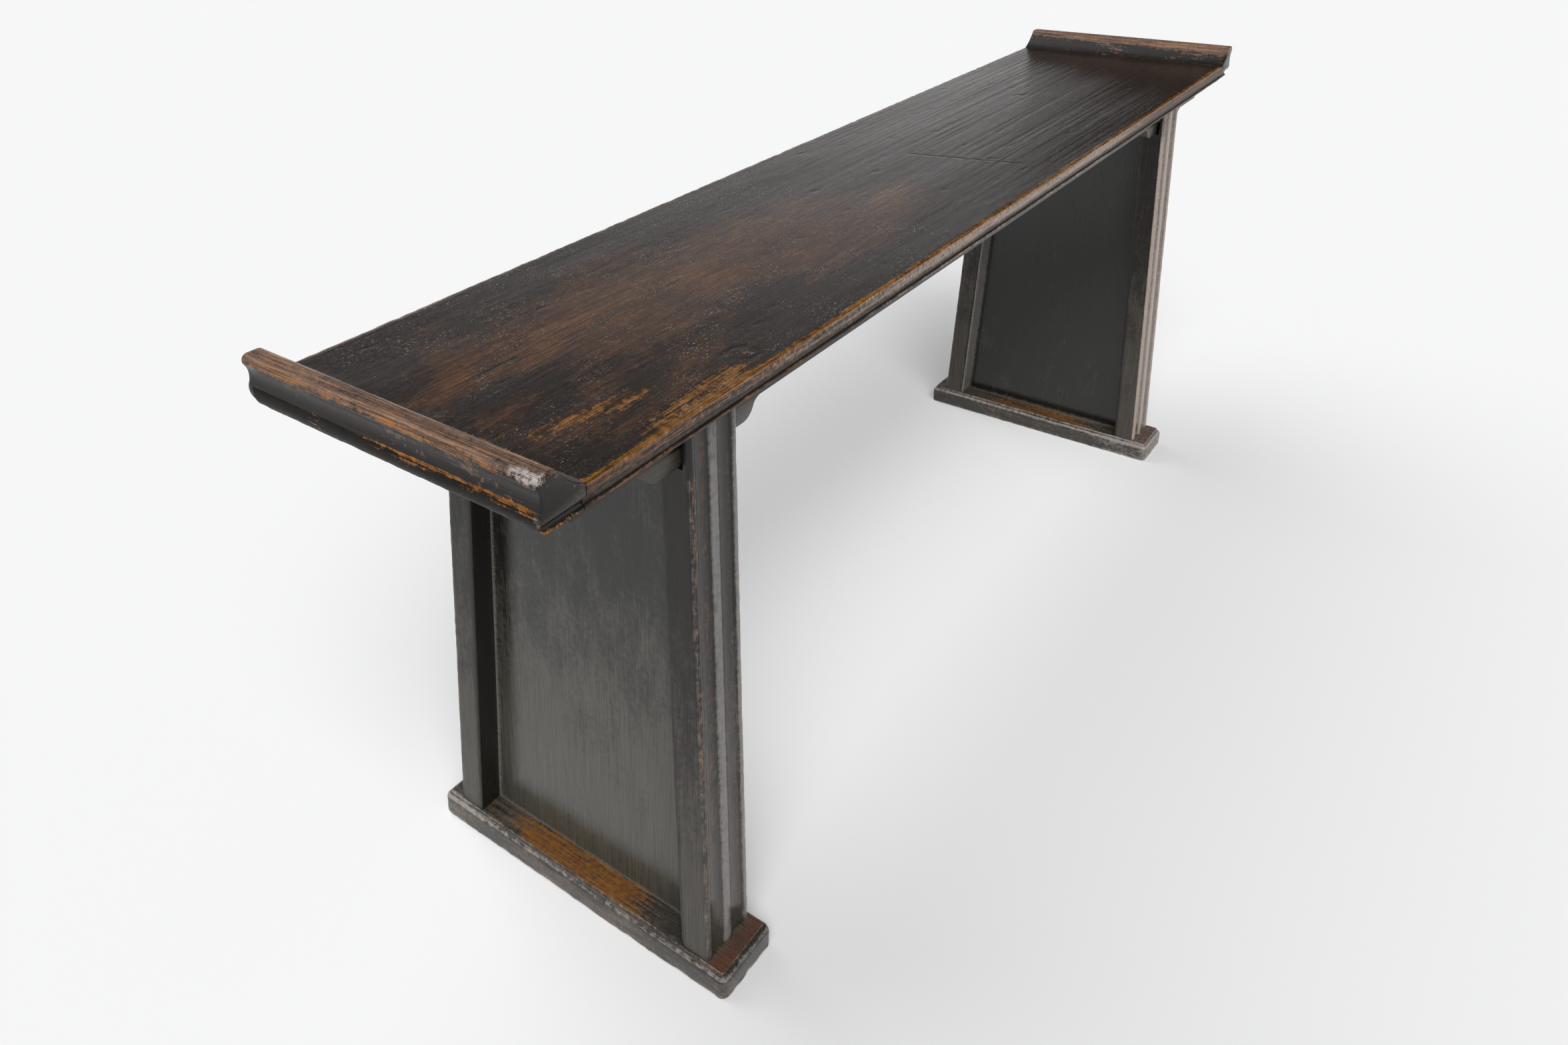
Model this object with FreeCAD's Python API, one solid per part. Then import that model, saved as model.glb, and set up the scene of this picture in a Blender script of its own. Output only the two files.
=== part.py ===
"""Long recessed-leg table with everted end flanges, built from its separate joined pieces.

X runs along the table, Y from the front (-Y) to the back, Z up from the floor, in millimetres.
The origin is on the floor under the middle of the table. Left is the -X end, right the +X end.
"""

import math
import os

import FreeCAD
import Part

Vector = FreeCAD.Vector

# Overall sizes
TABLE_HEIGHT = 860.0          # floor to the upper face of the plank
TOP_LENGTH = 2230.0           # plank length, from flange toe to flange toe
TOP_DEPTH = 448.0             # front arris to back arris
TOP_THICKNESS = 32.0
TRESTLE_INSET = 253.0         # middle of each trestle from the end of the plank

# Moulding along the long edges of the top
EDGE_ROUND = 3.0              # worn upper arris
FASCIA_HEIGHT = 15.0
FASCIA_LEAN = 1.2             # the fascia leans in towards its lower arris
FASCIA_SWELL = 0.8
COVE_HOLLOW = 2.6
EDGE_BEAD_HEIGHT = 6.0
EDGE_BEAD_SETBACK = 6.0       # root of the bead behind the front arris

# Everted flange on the end battens
FLANGE_RISE = 36.0            # crest above the plank
FLANGE_REACH = 70.0           # toe to the outermost point of the nose
NOSE_RADIUS = 8.0
CREST_WIDTH = 14.0
INNER_SHOULDER_RADIUS = 10.0
INNER_HOLLOW = 3.5            # sweep of the inner face
RIDGE_SETBACK = 5.0           # ridge behind the nose
RIDGE_DROP = 3.0              # ridge below the upper face of the plank
WAIST_HOLLOW = 4.0
LOWER_BAND_SETBACK = 11.0     # lower arris behind the ridge
LOWER_BAND_SWELL = 4.0

# Plank tongues that carry the end battens, and their pegs
TONGUE_THICKNESS = 10.0
TONGUE_LENGTH = 30.0
TONGUE_STOP = 28.0            # tongue stops this far short of the front and back arris
PEG_DIAMETER = 8.0
PEG_COUNT = 3
PEG_SPACING = 140.0
PEG_SETBACK = 15.0            # peg axis from the plank's shoulder
PEG_COVER = 5.0               # wood left between peg head and the plank's upper face

# Legs
LEG_WIDTH = 96.0              # along X
LEG_DEPTH = 44.0              # along Y
LEG_INSET = 28.0              # outer face behind the plank's arris, under the plank
LEG_SPLAY = 33.0              # how far each leg leans out on its way down to the foot
LEG_EDGE_BEAD = 13.0
LEG_CENTRE_BEAD = 22.0
LEG_MOULD_DEPTH = 3.0
LEG_HOLLOW = 1.2

# Slotted leg head that clasps the apron and the spandrel
SLOT_LIP = 7.5                # wall in front of the slot, under the plank
SLOT_SLACK = 6.5              # open slit in front of the boards
TOP_TENON_WIDTH = 20.0
TOP_TENON_SPACING = 54.0
TOP_TENON_HEIGHT = 18.0
TENON_SHOULDER = 2.5

# Through tenons in the foot, and the wedges that spread them
FOOT_TENON_WIDTH = 20.0
FOOT_TENON_DEPTH = 20.0
FOOT_TENON_SPACING = 56.0
FOOT_TENON_INSET = 13.0       # behind the outer face of the leg
WEDGE_THICKNESS = 3.6
WEDGE_TIP = 0.8
WEDGE_LENGTH = 26.0

# Aprons and spandrels
APRON_THICKNESS = 16.0
APRON_DROP = 40.0             # below the underside of the plank
APRON_TONGUE_THICKNESS = 8.0
APRON_TONGUE_HEIGHT = 5.0
END_APRON_INSET = 22.0        # behind the plank's shoulder
END_APRON_THICKNESS = 16.0
END_APRON_TENON_LENGTH = 7.0
END_APRON_TENON_HEIGHT = 22.0
END_APRON_TENON_THICKNESS = 7.0
SPANDREL_DROP = 64.0          # below the underside of the plank
WING_FLAT = 34.0              # flat lower edge beside the leg
WING_ROUND_LENGTH = 26.0
WING_ROUND_RISE = 16.0
WING_ROUND_SWELL = 5.0
WING_SWEEP_LENGTH = 12.0
WING_SWEEP_HOLLOW = 1.6
SPANDREL_TONGUE_THICKNESS = 6.0
SPANDREL_TONGUE_HEIGHT = 8.0
SPANDREL_TONGUE_STOP = 14.0

# Trestle panel and head rail
PANEL_THICKNESS = 21.0
PANEL_GROOVE_DEPTH = 10.0     # in the legs
PANEL_FOOT_DEPTH = 8.0
PANEL_RAIL_DEPTH = 12.0
RAIL_WIDTH = 42.0
RAIL_HEIGHT = 60.0
RAIL_TENON_WIDTH = 18.0
RAIL_TENON_HEIGHT = 34.0
RAIL_TENON_COVER = 3.0        # wood left between the tenon's end and the slot

# Feet
FOOT_TOE = 31.0               # beyond the outer face of the leg
FOOT_WIDTH = 114.0
FOOT_HEIGHT = 40.0
FOOT_STEP_HEIGHT = 3.5        # raised flat on which the legs stand
FOOT_STEP_SETBACK = 8.0
FOOT_SHOULDER_RADIUS = 7.0
FOOT_CORNER_RADIUS = 10.0

# Dovetailed cross battens under the plank
CROSS_BATTEN_SPACING = 620.0
CROSS_BATTEN_WIDTH = 44.0
CROSS_BATTEN_HEIGHT = 22.0    # below the underside of the plank
DOVETAIL_DEPTH = 10.0
DOVETAIL_NECK = 32.0
DOVETAIL_FLARE = 4.0          # added on each side at full depth

# Clearances
SIDE_CLEARANCE = 0.2          # beside tenons, tongues and panels
END_CLEARANCE = 1.0           # past the end of a blind tenon or tongue
PEG_CLEARANCE = 0.1
CUT_OVERRUN = 1.0             # how far a cutter runs past the face that it opens

# Heights and half sizes that follow from the sizes above
UNDERSIDE = TABLE_HEIGHT - TOP_THICKNESS
HALF_LENGTH = TOP_LENGTH / 2
HALF_DEPTH = TOP_DEPTH / 2
TONGUE_MIDDLE = TABLE_HEIGHT - TOP_THICKNESS / 2
LEG_SPREAD_TOP = TOP_DEPTH - 2 * LEG_INSET
LEG_SPREAD_FOOT = LEG_SPREAD_TOP + 2 * LEG_SPLAY
FOOT_LENGTH = LEG_SPREAD_FOOT + 2 * FOOT_TOE
APRON_BOTTOM = UNDERSIDE - APRON_DROP
SLOT_BOTTOM = UNDERSIDE - SPANDREL_DROP
APRON_OUTER = LEG_SPREAD_TOP / 2 - SLOT_LIP - SLOT_SLACK
APRON_INNER = APRON_OUTER - APRON_THICKNESS
APRON_MIDDLE = (APRON_OUTER + APRON_INNER) / 2
APRON_HALF_LENGTH = HALF_LENGTH - END_APRON_INSET
SPANDREL_HALF = LEG_WIDTH / 2 + WING_FLAT + WING_ROUND_LENGTH + WING_SWEEP_LENGTH
RAIL_BOTTOM = UNDERSIDE - RAIL_HEIGHT
PANEL_TOP = RAIL_BOTTOM + PANEL_RAIL_DEPTH - END_CLEARANCE
PANEL_BOTTOM = FOOT_HEIGHT - PANEL_FOOT_DEPTH
NOSE_ARC_START = math.radians(-30)
SHOULDER_ARC = math.radians(45)


def on_end(x):
    """Drawing plane across the table: the first number is Y, the second Z."""
    return lambda a, b: Vector(x, a, b)


def on_front(y):
    """Drawing plane along the table: the first number is X, the second Z."""
    return lambda a, b: Vector(a, y, b)


def on_level(z):
    """Level drawing plane: the first number is X, the second Y."""
    return lambda a, b: Vector(a, b, z)


def outline(place, corners):
    """Closed face from (a, b, swell) corners, anticlockwise.

    The swell bows the side that leads to the corner: outwards if positive, inwards if negative.
    """
    edges = []
    last = corners[-1]
    for corner in corners:
        (a0, b0), (a1, b1) = last[:2], corner[:2]
        start, end = place(a0, b0), place(a1, b1)
        if corner[2]:
            reach = math.hypot(a1 - a0, b1 - b0)
            across = (b1 - b0) / reach * corner[2]
            along = (a0 - a1) / reach * corner[2]
            middle = place((a0 + a1) / 2 + across, (b0 + b1) / 2 + along)
            edges.append(Part.Arc(start, middle, end).toShape())
        else:
            edges.append(Part.LineSegment(start, end).toShape())
        last = corner
    return Part.Face(Part.Wire(edges))


def mirrored(corners):
    """The same outline run back along the other side of the middle line."""
    turned = []
    for index in range(len(corners) - 1, -1, -1):
        swell = corners[index + 1][2] if index + 1 < len(corners) else 0
        turned.append((-corners[index][0], corners[index][1], swell))
    return turned


def block(x, y, z):
    """Rectangular block from three (lowest, highest) pairs."""
    size = [high - low for low, high in (x, y, z)]
    return Part.makeBox(*size, Vector(x[0], y[0], z[0]))


def about(middle, width, clearance=0.0):
    """(lowest, highest) of a width about a middle, grown by a clearance on both sides."""
    return middle - width / 2 - clearance, middle + width / 2 + clearance


def flip_y(shape):
    return shape.mirror(Vector(0, 0, 0), Vector(0, 1, 0))


def flip_x(shape):
    return shape.mirror(Vector(0, 0, 0), Vector(1, 0, 0))


def whole(solid):
    """The solid without the seams that joining leaves on its flat faces."""
    return solid.removeSplitter()


def leg_outer(z):
    """Half the distance between the outer leg faces at a height."""
    rise = (z - FOOT_HEIGHT) / (UNDERSIDE - FOOT_HEIGHT)
    return (LEG_SPREAD_FOOT + (LEG_SPREAD_TOP - LEG_SPREAD_FOOT) * rise) / 2


def leg_inner(z):
    return leg_outer(z) - LEG_DEPTH


def trestle_x(side):
    return side * (HALF_LENGTH - TRESTLE_INSET)


def edge_half(top, rounding):
    """Back half of the moulded section: bead, cove, fascia and worn arris, upwards."""
    root = HALF_DEPTH - EDGE_BEAD_SETBACK
    corners = [
        (root, UNDERSIDE, 0),
        (root, UNDERSIDE + EDGE_BEAD_HEIGHT, EDGE_BEAD_HEIGHT / 2),
        (HALF_DEPTH - FASCIA_LEAN, TABLE_HEIGHT - FASCIA_HEIGHT, -COVE_HOLLOW),
        (HALF_DEPTH, TABLE_HEIGHT - EDGE_ROUND, FASCIA_SWELL),
    ]
    if rounding:
        sagitta = EDGE_ROUND * (1 - math.cos(math.radians(45)))
        corners.append((HALF_DEPTH - EDGE_ROUND, top, sagitta))
    else:
        corners.append((HALF_DEPTH, top, 0))
    return corners


def moulded_bar(x, top, rounding):
    """Bar along X with the edge moulding on its front and back."""
    half = edge_half(top, rounding)
    return outline(on_end(x[0]), half + mirrored(half)).extrude(Vector(x[1] - x[0], 0, 0))


def tongue(clearance=0.0, end_clearance=0.0):
    """Tongue at the right end of the plank, or the groove for it."""
    x = (HALF_LENGTH - CUT_OVERRUN, HALF_LENGTH + TONGUE_LENGTH + end_clearance)
    half = HALF_DEPTH - TONGUE_STOP + end_clearance
    return block(x, (-half, half), about(TONGUE_MIDDLE, TONGUE_THICKNESS, clearance))


def pegs(radius):
    """Upright pegs through the right end batten's lower cheek and the tongue."""
    made = []
    for index in range(PEG_COUNT):
        y = (index - (PEG_COUNT - 1) / 2) * PEG_SPACING
        foot = Vector(HALF_LENGTH + PEG_SETBACK, y, UNDERSIDE)
        made.append(Part.makeCylinder(radius, TOP_THICKNESS - PEG_COVER, foot))
    return Part.makeCompound(made)


def top_tenons(clearance=0.0, end_clearance=0.0):
    """Two tenons on the inner prong of a front leg at x = 0, or their mortises in the plank."""
    thickness = APRON_INNER - leg_inner(UNDERSIDE) - 2 * TENON_SHOULDER
    y = about(-APRON_INNER + TENON_SHOULDER + thickness / 2, thickness, clearance)
    z = (UNDERSIDE, UNDERSIDE + TOP_TENON_HEIGHT + end_clearance)
    made = []
    for side in (-1, 1):
        x = about(side * TOP_TENON_SPACING / 2, TOP_TENON_WIDTH, clearance)
        made.append(block(x, y, z))
    return Part.makeCompound(made)


def apron_tongue(clearance=0.0, end_clearance=0.0):
    """Tongue along the upper edge of the front apron, or its groove in the plank."""
    half = APRON_HALF_LENGTH - END_APRON_THICKNESS + end_clearance
    y = about(-APRON_MIDDLE, APRON_TONGUE_THICKNESS, clearance)
    return block((-half, half), y, (UNDERSIDE, UNDERSIDE + APRON_TONGUE_HEIGHT + end_clearance))


def dovetail(clearance=0.0, end_clearance=0.0):
    """Dovetail of a cross batten at x = 0, or its housing in the plank."""
    neck = DOVETAIL_NECK / 2 + clearance
    flared = neck + DOVETAIL_FLARE
    top = UNDERSIDE + DOVETAIL_DEPTH + clearance
    half = APRON_INNER - END_CLEARANCE + end_clearance
    corners = [(-neck, UNDERSIDE, 0), (neck, UNDERSIDE, 0), (flared, top, 0), (-flared, top, 0)]
    return outline(on_front(-half), corners).extrude(Vector(0, 2 * half, 0))


def top_plank():
    plank = moulded_bar((-HALF_LENGTH, HALF_LENGTH), TABLE_HEIGHT, True)
    right = tongue()
    plank = plank.fuse([right, flip_x(right)])
    hole = pegs(PEG_DIAMETER / 2 + PEG_CLEARANCE)
    cutters = [hole, flip_x(hole)]
    groove = apron_tongue(SIDE_CLEARANCE, END_CLEARANCE)
    cutters += [groove, flip_y(groove)]
    for side in (-1, 1):
        along = Vector(trestle_x(side), 0, 0)
        mortises = top_tenons(SIDE_CLEARANCE, END_CLEARANCE).translated(along)
        cutters += [mortises, flip_y(mortises)]
        housing = dovetail(SIDE_CLEARANCE, END_CLEARANCE)
        cutters.append(housing.translated(Vector(side * CROSS_BATTEN_SPACING / 2, 0, 0)))
    return whole(plank.cut(cutters))


def flange_profile(y):
    """End profile of the right batten: lower band, ridge, waist, nose, crest and inner sweep."""
    ridge = HALF_LENGTH + FLANGE_REACH - RIDGE_SETBACK
    crest = TABLE_HEIGHT + FLANGE_RISE
    nose_x = HALF_LENGTH + FLANGE_REACH - NOSE_RADIUS
    nose_z = crest - NOSE_RADIUS
    under_nose = (
        nose_x + NOSE_RADIUS * math.cos(NOSE_ARC_START),
        nose_z + NOSE_RADIUS * math.sin(NOSE_ARC_START),
    )
    nose_swell = NOSE_RADIUS * (1 - math.cos((math.pi / 2 - NOSE_ARC_START) / 2))
    crest_inner = nose_x - CREST_WIDTH
    shoulder = (
        crest_inner - INNER_SHOULDER_RADIUS * math.sin(SHOULDER_ARC),
        crest - INNER_SHOULDER_RADIUS * (1 - math.cos(SHOULDER_ARC)),
    )
    shoulder_swell = INNER_SHOULDER_RADIUS * (1 - math.cos(SHOULDER_ARC / 2))
    corners = [
        (HALF_LENGTH, UNDERSIDE, 0),
        (ridge - LOWER_BAND_SETBACK, UNDERSIDE, 0),
        (ridge, TABLE_HEIGHT - RIDGE_DROP, LOWER_BAND_SWELL),
        (*under_nose, -WAIST_HOLLOW),
        (nose_x, crest, nose_swell),
        (crest_inner, crest, 0),
        (*shoulder, shoulder_swell),
        (HALF_LENGTH, TABLE_HEIGHT, -INNER_HOLLOW),
    ]
    return outline(on_front(y), corners)


def end_batten():
    """Right end batten: the end profile along Y, trimmed by the long edges' moulding."""
    ends = HALF_DEPTH + CUT_OVERRUN
    batten = flange_profile(-ends).extrude(Vector(0, 2 * ends, 0))
    x = (HALF_LENGTH - CUT_OVERRUN, HALF_LENGTH + FLANGE_REACH + CUT_OVERRUN)
    batten = batten.common(moulded_bar(x, TABLE_HEIGHT + FLANGE_RISE + CUT_OVERRUN, False))
    groove = tongue(SIDE_CLEARANCE, END_CLEARANCE)
    return whole(batten.cut([groove, pegs(PEG_DIAMETER / 2 + PEG_CLEARANCE)]))


def end_batten_pegs():
    return pegs(PEG_DIAMETER / 2)


def spandrel_tongue(clearance=0.0, end_clearance=0.0):
    """Tongue on top of a front spandrel at x = 0, or its groove in the apron."""
    half = SPANDREL_HALF - SPANDREL_TONGUE_STOP + end_clearance
    y = about(-APRON_MIDDLE, SPANDREL_TONGUE_THICKNESS, clearance)
    z = (APRON_BOTTOM, APRON_BOTTOM + SPANDREL_TONGUE_HEIGHT + end_clearance)
    return block((-half, half), y, z)


def spandrel():
    """Front spandrel at x = 0: flat under the leg, then a round wing that sweeps up to the apron."""
    flat = LEG_WIDTH / 2 + WING_FLAT
    half = [
        (flat, SLOT_BOTTOM, 0),
        (flat + WING_ROUND_LENGTH, SLOT_BOTTOM + WING_ROUND_RISE, WING_ROUND_SWELL),
        (SPANDREL_HALF, APRON_BOTTOM, -WING_SWEEP_HOLLOW),
    ]
    face = outline(on_front(-APRON_OUTER), half + mirrored(half))
    board = face.extrude(Vector(0, APRON_THICKNESS, 0))
    return whole(board.fuse(spandrel_tongue()))


def end_apron_tenon(clearance=0.0, end_clearance=0.0):
    """Tenon of the right end apron in the front apron, or its mortise."""
    x = about(APRON_HALF_LENGTH - END_APRON_THICKNESS / 2, END_APRON_TENON_THICKNESS, clearance)
    y = (-APRON_INNER - END_APRON_TENON_LENGTH - end_clearance, -APRON_INNER + CUT_OVERRUN)
    return block(x, y, about(UNDERSIDE - APRON_DROP / 2, END_APRON_TENON_HEIGHT, clearance))


def long_apron():
    """Front apron, which runs through the slots of both front legs."""
    y = (-APRON_OUTER, -APRON_INNER)
    apron = block((-APRON_HALF_LENGTH, APRON_HALF_LENGTH), y, (APRON_BOTTOM, UNDERSIDE))
    apron = apron.fuse(apron_tongue())
    mortise = end_apron_tenon(SIDE_CLEARANCE, END_CLEARANCE)
    cutters = [mortise, flip_x(mortise)]
    for side in (-1, 1):
        groove = spandrel_tongue(SIDE_CLEARANCE, END_CLEARANCE)
        cutters.append(groove.translated(Vector(trestle_x(side), 0, 0)))
    return whole(apron.cut(cutters))


def end_apron():
    """Right end apron, between the long aprons."""
    x = (APRON_HALF_LENGTH - END_APRON_THICKNESS, APRON_HALF_LENGTH)
    board = block(x, (-APRON_INNER, APRON_INNER), (APRON_BOTTOM, UNDERSIDE))
    front = end_apron_tenon()
    return whole(board.fuse([front, flip_y(front)]))


def leg_section():
    """Front leg where it meets the foot: edge beads, two hollows and a middle bead outside."""
    outer = -leg_outer(FOOT_HEIGHT)
    root = outer + LEG_MOULD_DEPTH
    half = LEG_WIDTH / 2
    corners = [
        (-half, outer + LEG_DEPTH, 0),
        (-half, root, 0),
        (-half + LEG_EDGE_BEAD, root, LEG_MOULD_DEPTH),
        (-LEG_CENTRE_BEAD / 2, root, -LEG_HOLLOW),
        (LEG_CENTRE_BEAD / 2, root, LEG_MOULD_DEPTH),
        (half - LEG_EDGE_BEAD, root, -LEG_HOLLOW),
        (half, root, LEG_MOULD_DEPTH),
        (half, outer + LEG_DEPTH, 0),
    ]
    return outline(on_level(FOOT_HEIGHT), corners)


def foot_tenon(side, clearance=0.0):
    """One of the two tenons of a front leg at x = 0, or its mortise through the foot."""
    outer = -leg_outer(FOOT_HEIGHT) + FOOT_TENON_INSET
    x = about(side * FOOT_TENON_SPACING / 2, FOOT_TENON_WIDTH, clearance)
    return block(x, (outer - clearance, outer + FOOT_TENON_DEPTH + clearance), (0, FOOT_HEIGHT))


def tenon_wedge(side):
    """Wedge driven up into the tenon from under the foot."""
    outer = -leg_outer(FOOT_HEIGHT) + FOOT_TENON_INSET
    middle = side * FOOT_TENON_SPACING / 2
    base, tip = WEDGE_THICKNESS / 2, WEDGE_TIP / 2
    corners = [
        (middle - base, 0, 0),
        (middle + base, 0, 0),
        (middle + tip, WEDGE_LENGTH, 0),
        (middle - tip, WEDGE_LENGTH, 0),
    ]
    return outline(on_front(outer), corners).extrude(Vector(0, FOOT_TENON_DEPTH, 0))


def rail_tenons(clearance=0.0, end_clearance=0.0):
    """Tenons of the head rail at x = 0, as one bar from leg to leg, or their mortises."""
    half = APRON_INNER - RAIL_TENON_COVER + end_clearance
    z = about(UNDERSIDE - RAIL_HEIGHT / 2, RAIL_TENON_HEIGHT, clearance)
    return block(about(0, RAIL_TENON_WIDTH, clearance), (-half, half), z)


def trestle_sheet(x, z, reach):
    """Upright sheet at x = 0 between the splayed legs, reaching into them on both sides."""
    low, high = leg_inner(z[0]) + reach, leg_inner(z[1]) + reach
    corners = [(-low, z[0], 0), (low, z[0], 0), (high, z[1], 0), (-high, z[1], 0)]
    return outline(on_end(x[0]), corners).extrude(Vector(x[1] - x[0], 0, 0))


def leg():
    """Front leg at x = 0."""
    lean = Vector(0, leg_outer(FOOT_HEIGHT) - leg_outer(UNDERSIDE), UNDERSIDE - FOOT_HEIGHT)
    post = leg_section().extrude(lean)
    half = LEG_WIDTH / 2 + CUT_OVERRUN
    slot_y = (-APRON_OUTER - SLOT_SLACK, -APRON_INNER)
    slot = block((-half, half), slot_y, (SLOT_BOTTOM, UNDERSIDE + CUT_OVERRUN))
    groove = panel_groove((FOOT_HEIGHT - CUT_OVERRUN, PANEL_TOP + END_CLEARANCE))
    post = post.cut([slot, groove, rail_tenons(SIDE_CLEARANCE, END_CLEARANCE)])
    tenons = [top_tenons(), foot_tenon(-1), foot_tenon(1)]
    return whole(post.fuse(tenons).cut([tenon_wedge(-1), tenon_wedge(1)]))


def foot_wedges():
    front = [tenon_wedge(-1), tenon_wedge(1)]
    return Part.makeCompound(front + [flip_y(wedge) for wedge in front])


def side_panel():
    """Trestle panel at x = 0, loose in its grooves so that it can swell and shrink."""
    x = about(0, PANEL_THICKNESS)
    return trestle_sheet(x, (PANEL_BOTTOM, PANEL_TOP), PANEL_GROOVE_DEPTH - END_CLEARANCE)


def panel_groove(z):
    """Groove for the panel, cut into the legs, the foot or the head rail at x = 0."""
    return trestle_sheet(about(0, PANEL_THICKNESS, SIDE_CLEARANCE), z, PANEL_GROOVE_DEPTH)


def trestle_rail():
    """Head rail at x = 0, between the inner faces of the two legs."""
    rail = trestle_sheet(about(0, RAIL_WIDTH), (RAIL_BOTTOM, UNDERSIDE), 0)
    groove = panel_groove((RAIL_BOTTOM - CUT_OVERRUN, PANEL_TOP + END_CLEARANCE))
    return whole(rail.fuse(rail_tenons()).cut(groove))


def foot():
    """Shoe foot at x = 0: rounded shoulder, then a raised flat with a sharp arris."""
    shoulder = FOOT_HEIGHT - FOOT_STEP_HEIGHT
    base = block(about(0, FOOT_WIDTH), about(0, FOOT_LENGTH), (0, shoulder))
    upright = [edge for edge in base.Edges if edge.BoundBox.ZLength > shoulder / 2]
    base = base.makeFillet(FOOT_CORNER_RADIUS, upright)
    rim = [edge for edge in base.Edges if edge.BoundBox.ZMin > shoulder / 2]
    base = base.makeFillet(FOOT_SHOULDER_RADIUS, rim)
    step_x = about(0, FOOT_WIDTH - 2 * FOOT_STEP_SETBACK)
    step_y = about(0, FOOT_LENGTH - 2 * FOOT_STEP_SETBACK)
    shoe = base.fuse(block(step_x, step_y, (shoulder, FOOT_HEIGHT)))
    cutters = [panel_groove((PANEL_BOTTOM, FOOT_HEIGHT + CUT_OVERRUN))]
    for side in (-1, 1):
        mortise = foot_tenon(side, SIDE_CLEARANCE)
        cutters += [mortise, flip_y(mortise)]
    return whole(shoe.cut(cutters))


def cross_batten():
    """Batten at x = 0 across the underside of the plank, held by its dovetail."""
    half = APRON_INNER - END_CLEARANCE
    z = (UNDERSIDE - CROSS_BATTEN_HEIGHT, UNDERSIDE)
    bar = block(about(0, CROSS_BATTEN_WIDTH), (-half, half), z)
    return whole(bar.fuse(dovetail()))


def all_pieces():
    """Every piece of the table in its place, by name."""
    made = {"top_plank": top_plank()}
    made["front_apron"] = long_apron()
    made["back_apron"] = flip_y(long_apron())
    for end, side in (("left", -1), ("right", 1)):
        turn = flip_x if side < 0 else lambda shape: shape
        made[f"end_batten_{end}"] = turn(end_batten())
        made[f"end_batten_pegs_{end}"] = turn(end_batten_pegs())
        made[f"end_apron_{end}"] = turn(end_apron())
        at_trestle = Vector(trestle_x(side), 0, 0)
        made[f"leg_front_{end}"] = leg().translated(at_trestle)
        made[f"leg_back_{end}"] = flip_y(leg()).translated(at_trestle)
        made[f"spandrel_front_{end}"] = spandrel().translated(at_trestle)
        made[f"spandrel_back_{end}"] = flip_y(spandrel()).translated(at_trestle)
        made[f"side_panel_{end}"] = side_panel().translated(at_trestle)
        made[f"trestle_rail_{end}"] = trestle_rail().translated(at_trestle)
        made[f"foot_{end}"] = foot().translated(at_trestle)
        made[f"foot_wedges_{end}"] = foot_wedges().translated(at_trestle)
        at_batten = Vector(side * CROSS_BATTEN_SPACING / 2, 0, 0)
        made[f"cross_batten_{end}"] = cross_batten().translated(at_batten)
    return made


os.makedirs("parts", exist_ok=True)
for name, shape in all_pieces().items():
    shape.exportStep(f"parts/{name}.step")
    litres = shape.Volume / 1e6
    print(f"{name}: {len(shape.Solids)} solid(s), valid {shape.isValid()}, {litres:.3f} litres")
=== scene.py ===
# %% [markdown]
# # A long table in worn lacquer
# The table is a plank with everted ends on two panelled trestles. The imported model already holds every
# piece at its real size and place, so this lesson only dresses it: it models the pieces that show again
# with the marks of long use, paints them, and sets a floor, light and camera. The model's own pieces
# are kept, hidden.

# %% Frame
import math

import bmesh
import bpy
import numpy as np
from mathutils import Euler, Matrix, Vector, noise


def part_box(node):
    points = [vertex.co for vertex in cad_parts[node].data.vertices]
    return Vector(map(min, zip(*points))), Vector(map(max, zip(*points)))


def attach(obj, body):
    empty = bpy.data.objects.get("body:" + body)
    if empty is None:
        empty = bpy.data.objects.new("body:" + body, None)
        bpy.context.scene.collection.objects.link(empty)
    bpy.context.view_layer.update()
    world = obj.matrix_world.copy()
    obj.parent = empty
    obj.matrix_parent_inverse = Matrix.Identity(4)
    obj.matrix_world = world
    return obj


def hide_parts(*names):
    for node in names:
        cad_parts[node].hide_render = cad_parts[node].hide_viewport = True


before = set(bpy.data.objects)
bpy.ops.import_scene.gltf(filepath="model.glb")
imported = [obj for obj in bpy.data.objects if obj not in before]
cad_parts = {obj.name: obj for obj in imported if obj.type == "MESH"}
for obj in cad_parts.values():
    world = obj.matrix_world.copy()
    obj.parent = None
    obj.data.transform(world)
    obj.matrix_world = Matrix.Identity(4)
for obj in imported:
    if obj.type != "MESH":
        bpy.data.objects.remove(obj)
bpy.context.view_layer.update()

MM = 0.001
scene = bpy.context.scene
ENDS = {"left": -1, "right": 1}  # ends of the table, and their side of its middle
ROWS = {"front": 1, "back": -1}  # rows of legs: the back one is the front one mirrored

# %% [markdown]
# ## Camera
# The photograph looks down on the left front corner from close by with a wide lens, and the table
# fills its height. A shifted lens keeps the uprights from leaning as much as a tilted camera would.

# %% Camera
LENS_MM = 27.776
LENS_SHIFT = (0.13, -0.165)  # in widths of the picture
CAMERA_PLACE = Vector((-1868.1, -877.9, 1464.0)) * MM
CAMERA_TURN = (69.069, 1.845, -49.813)  # degrees

camera_data = bpy.data.cameras.new("photo_camera")
camera_data.lens = LENS_MM
camera_data.shift_x, camera_data.shift_y = LENS_SHIFT
camera = bpy.data.objects.new("photo_camera", camera_data)
camera.location = CAMERA_PLACE
camera.rotation_euler = Euler([math.radians(turn) for turn in CAMERA_TURN])
scene.collection.objects.link(camera)
scene.camera = camera
scene.view_settings.view_transform = "Standard"
print("camera", [round(value, 3) for value in camera.location], "lens", camera_data.lens)
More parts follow.
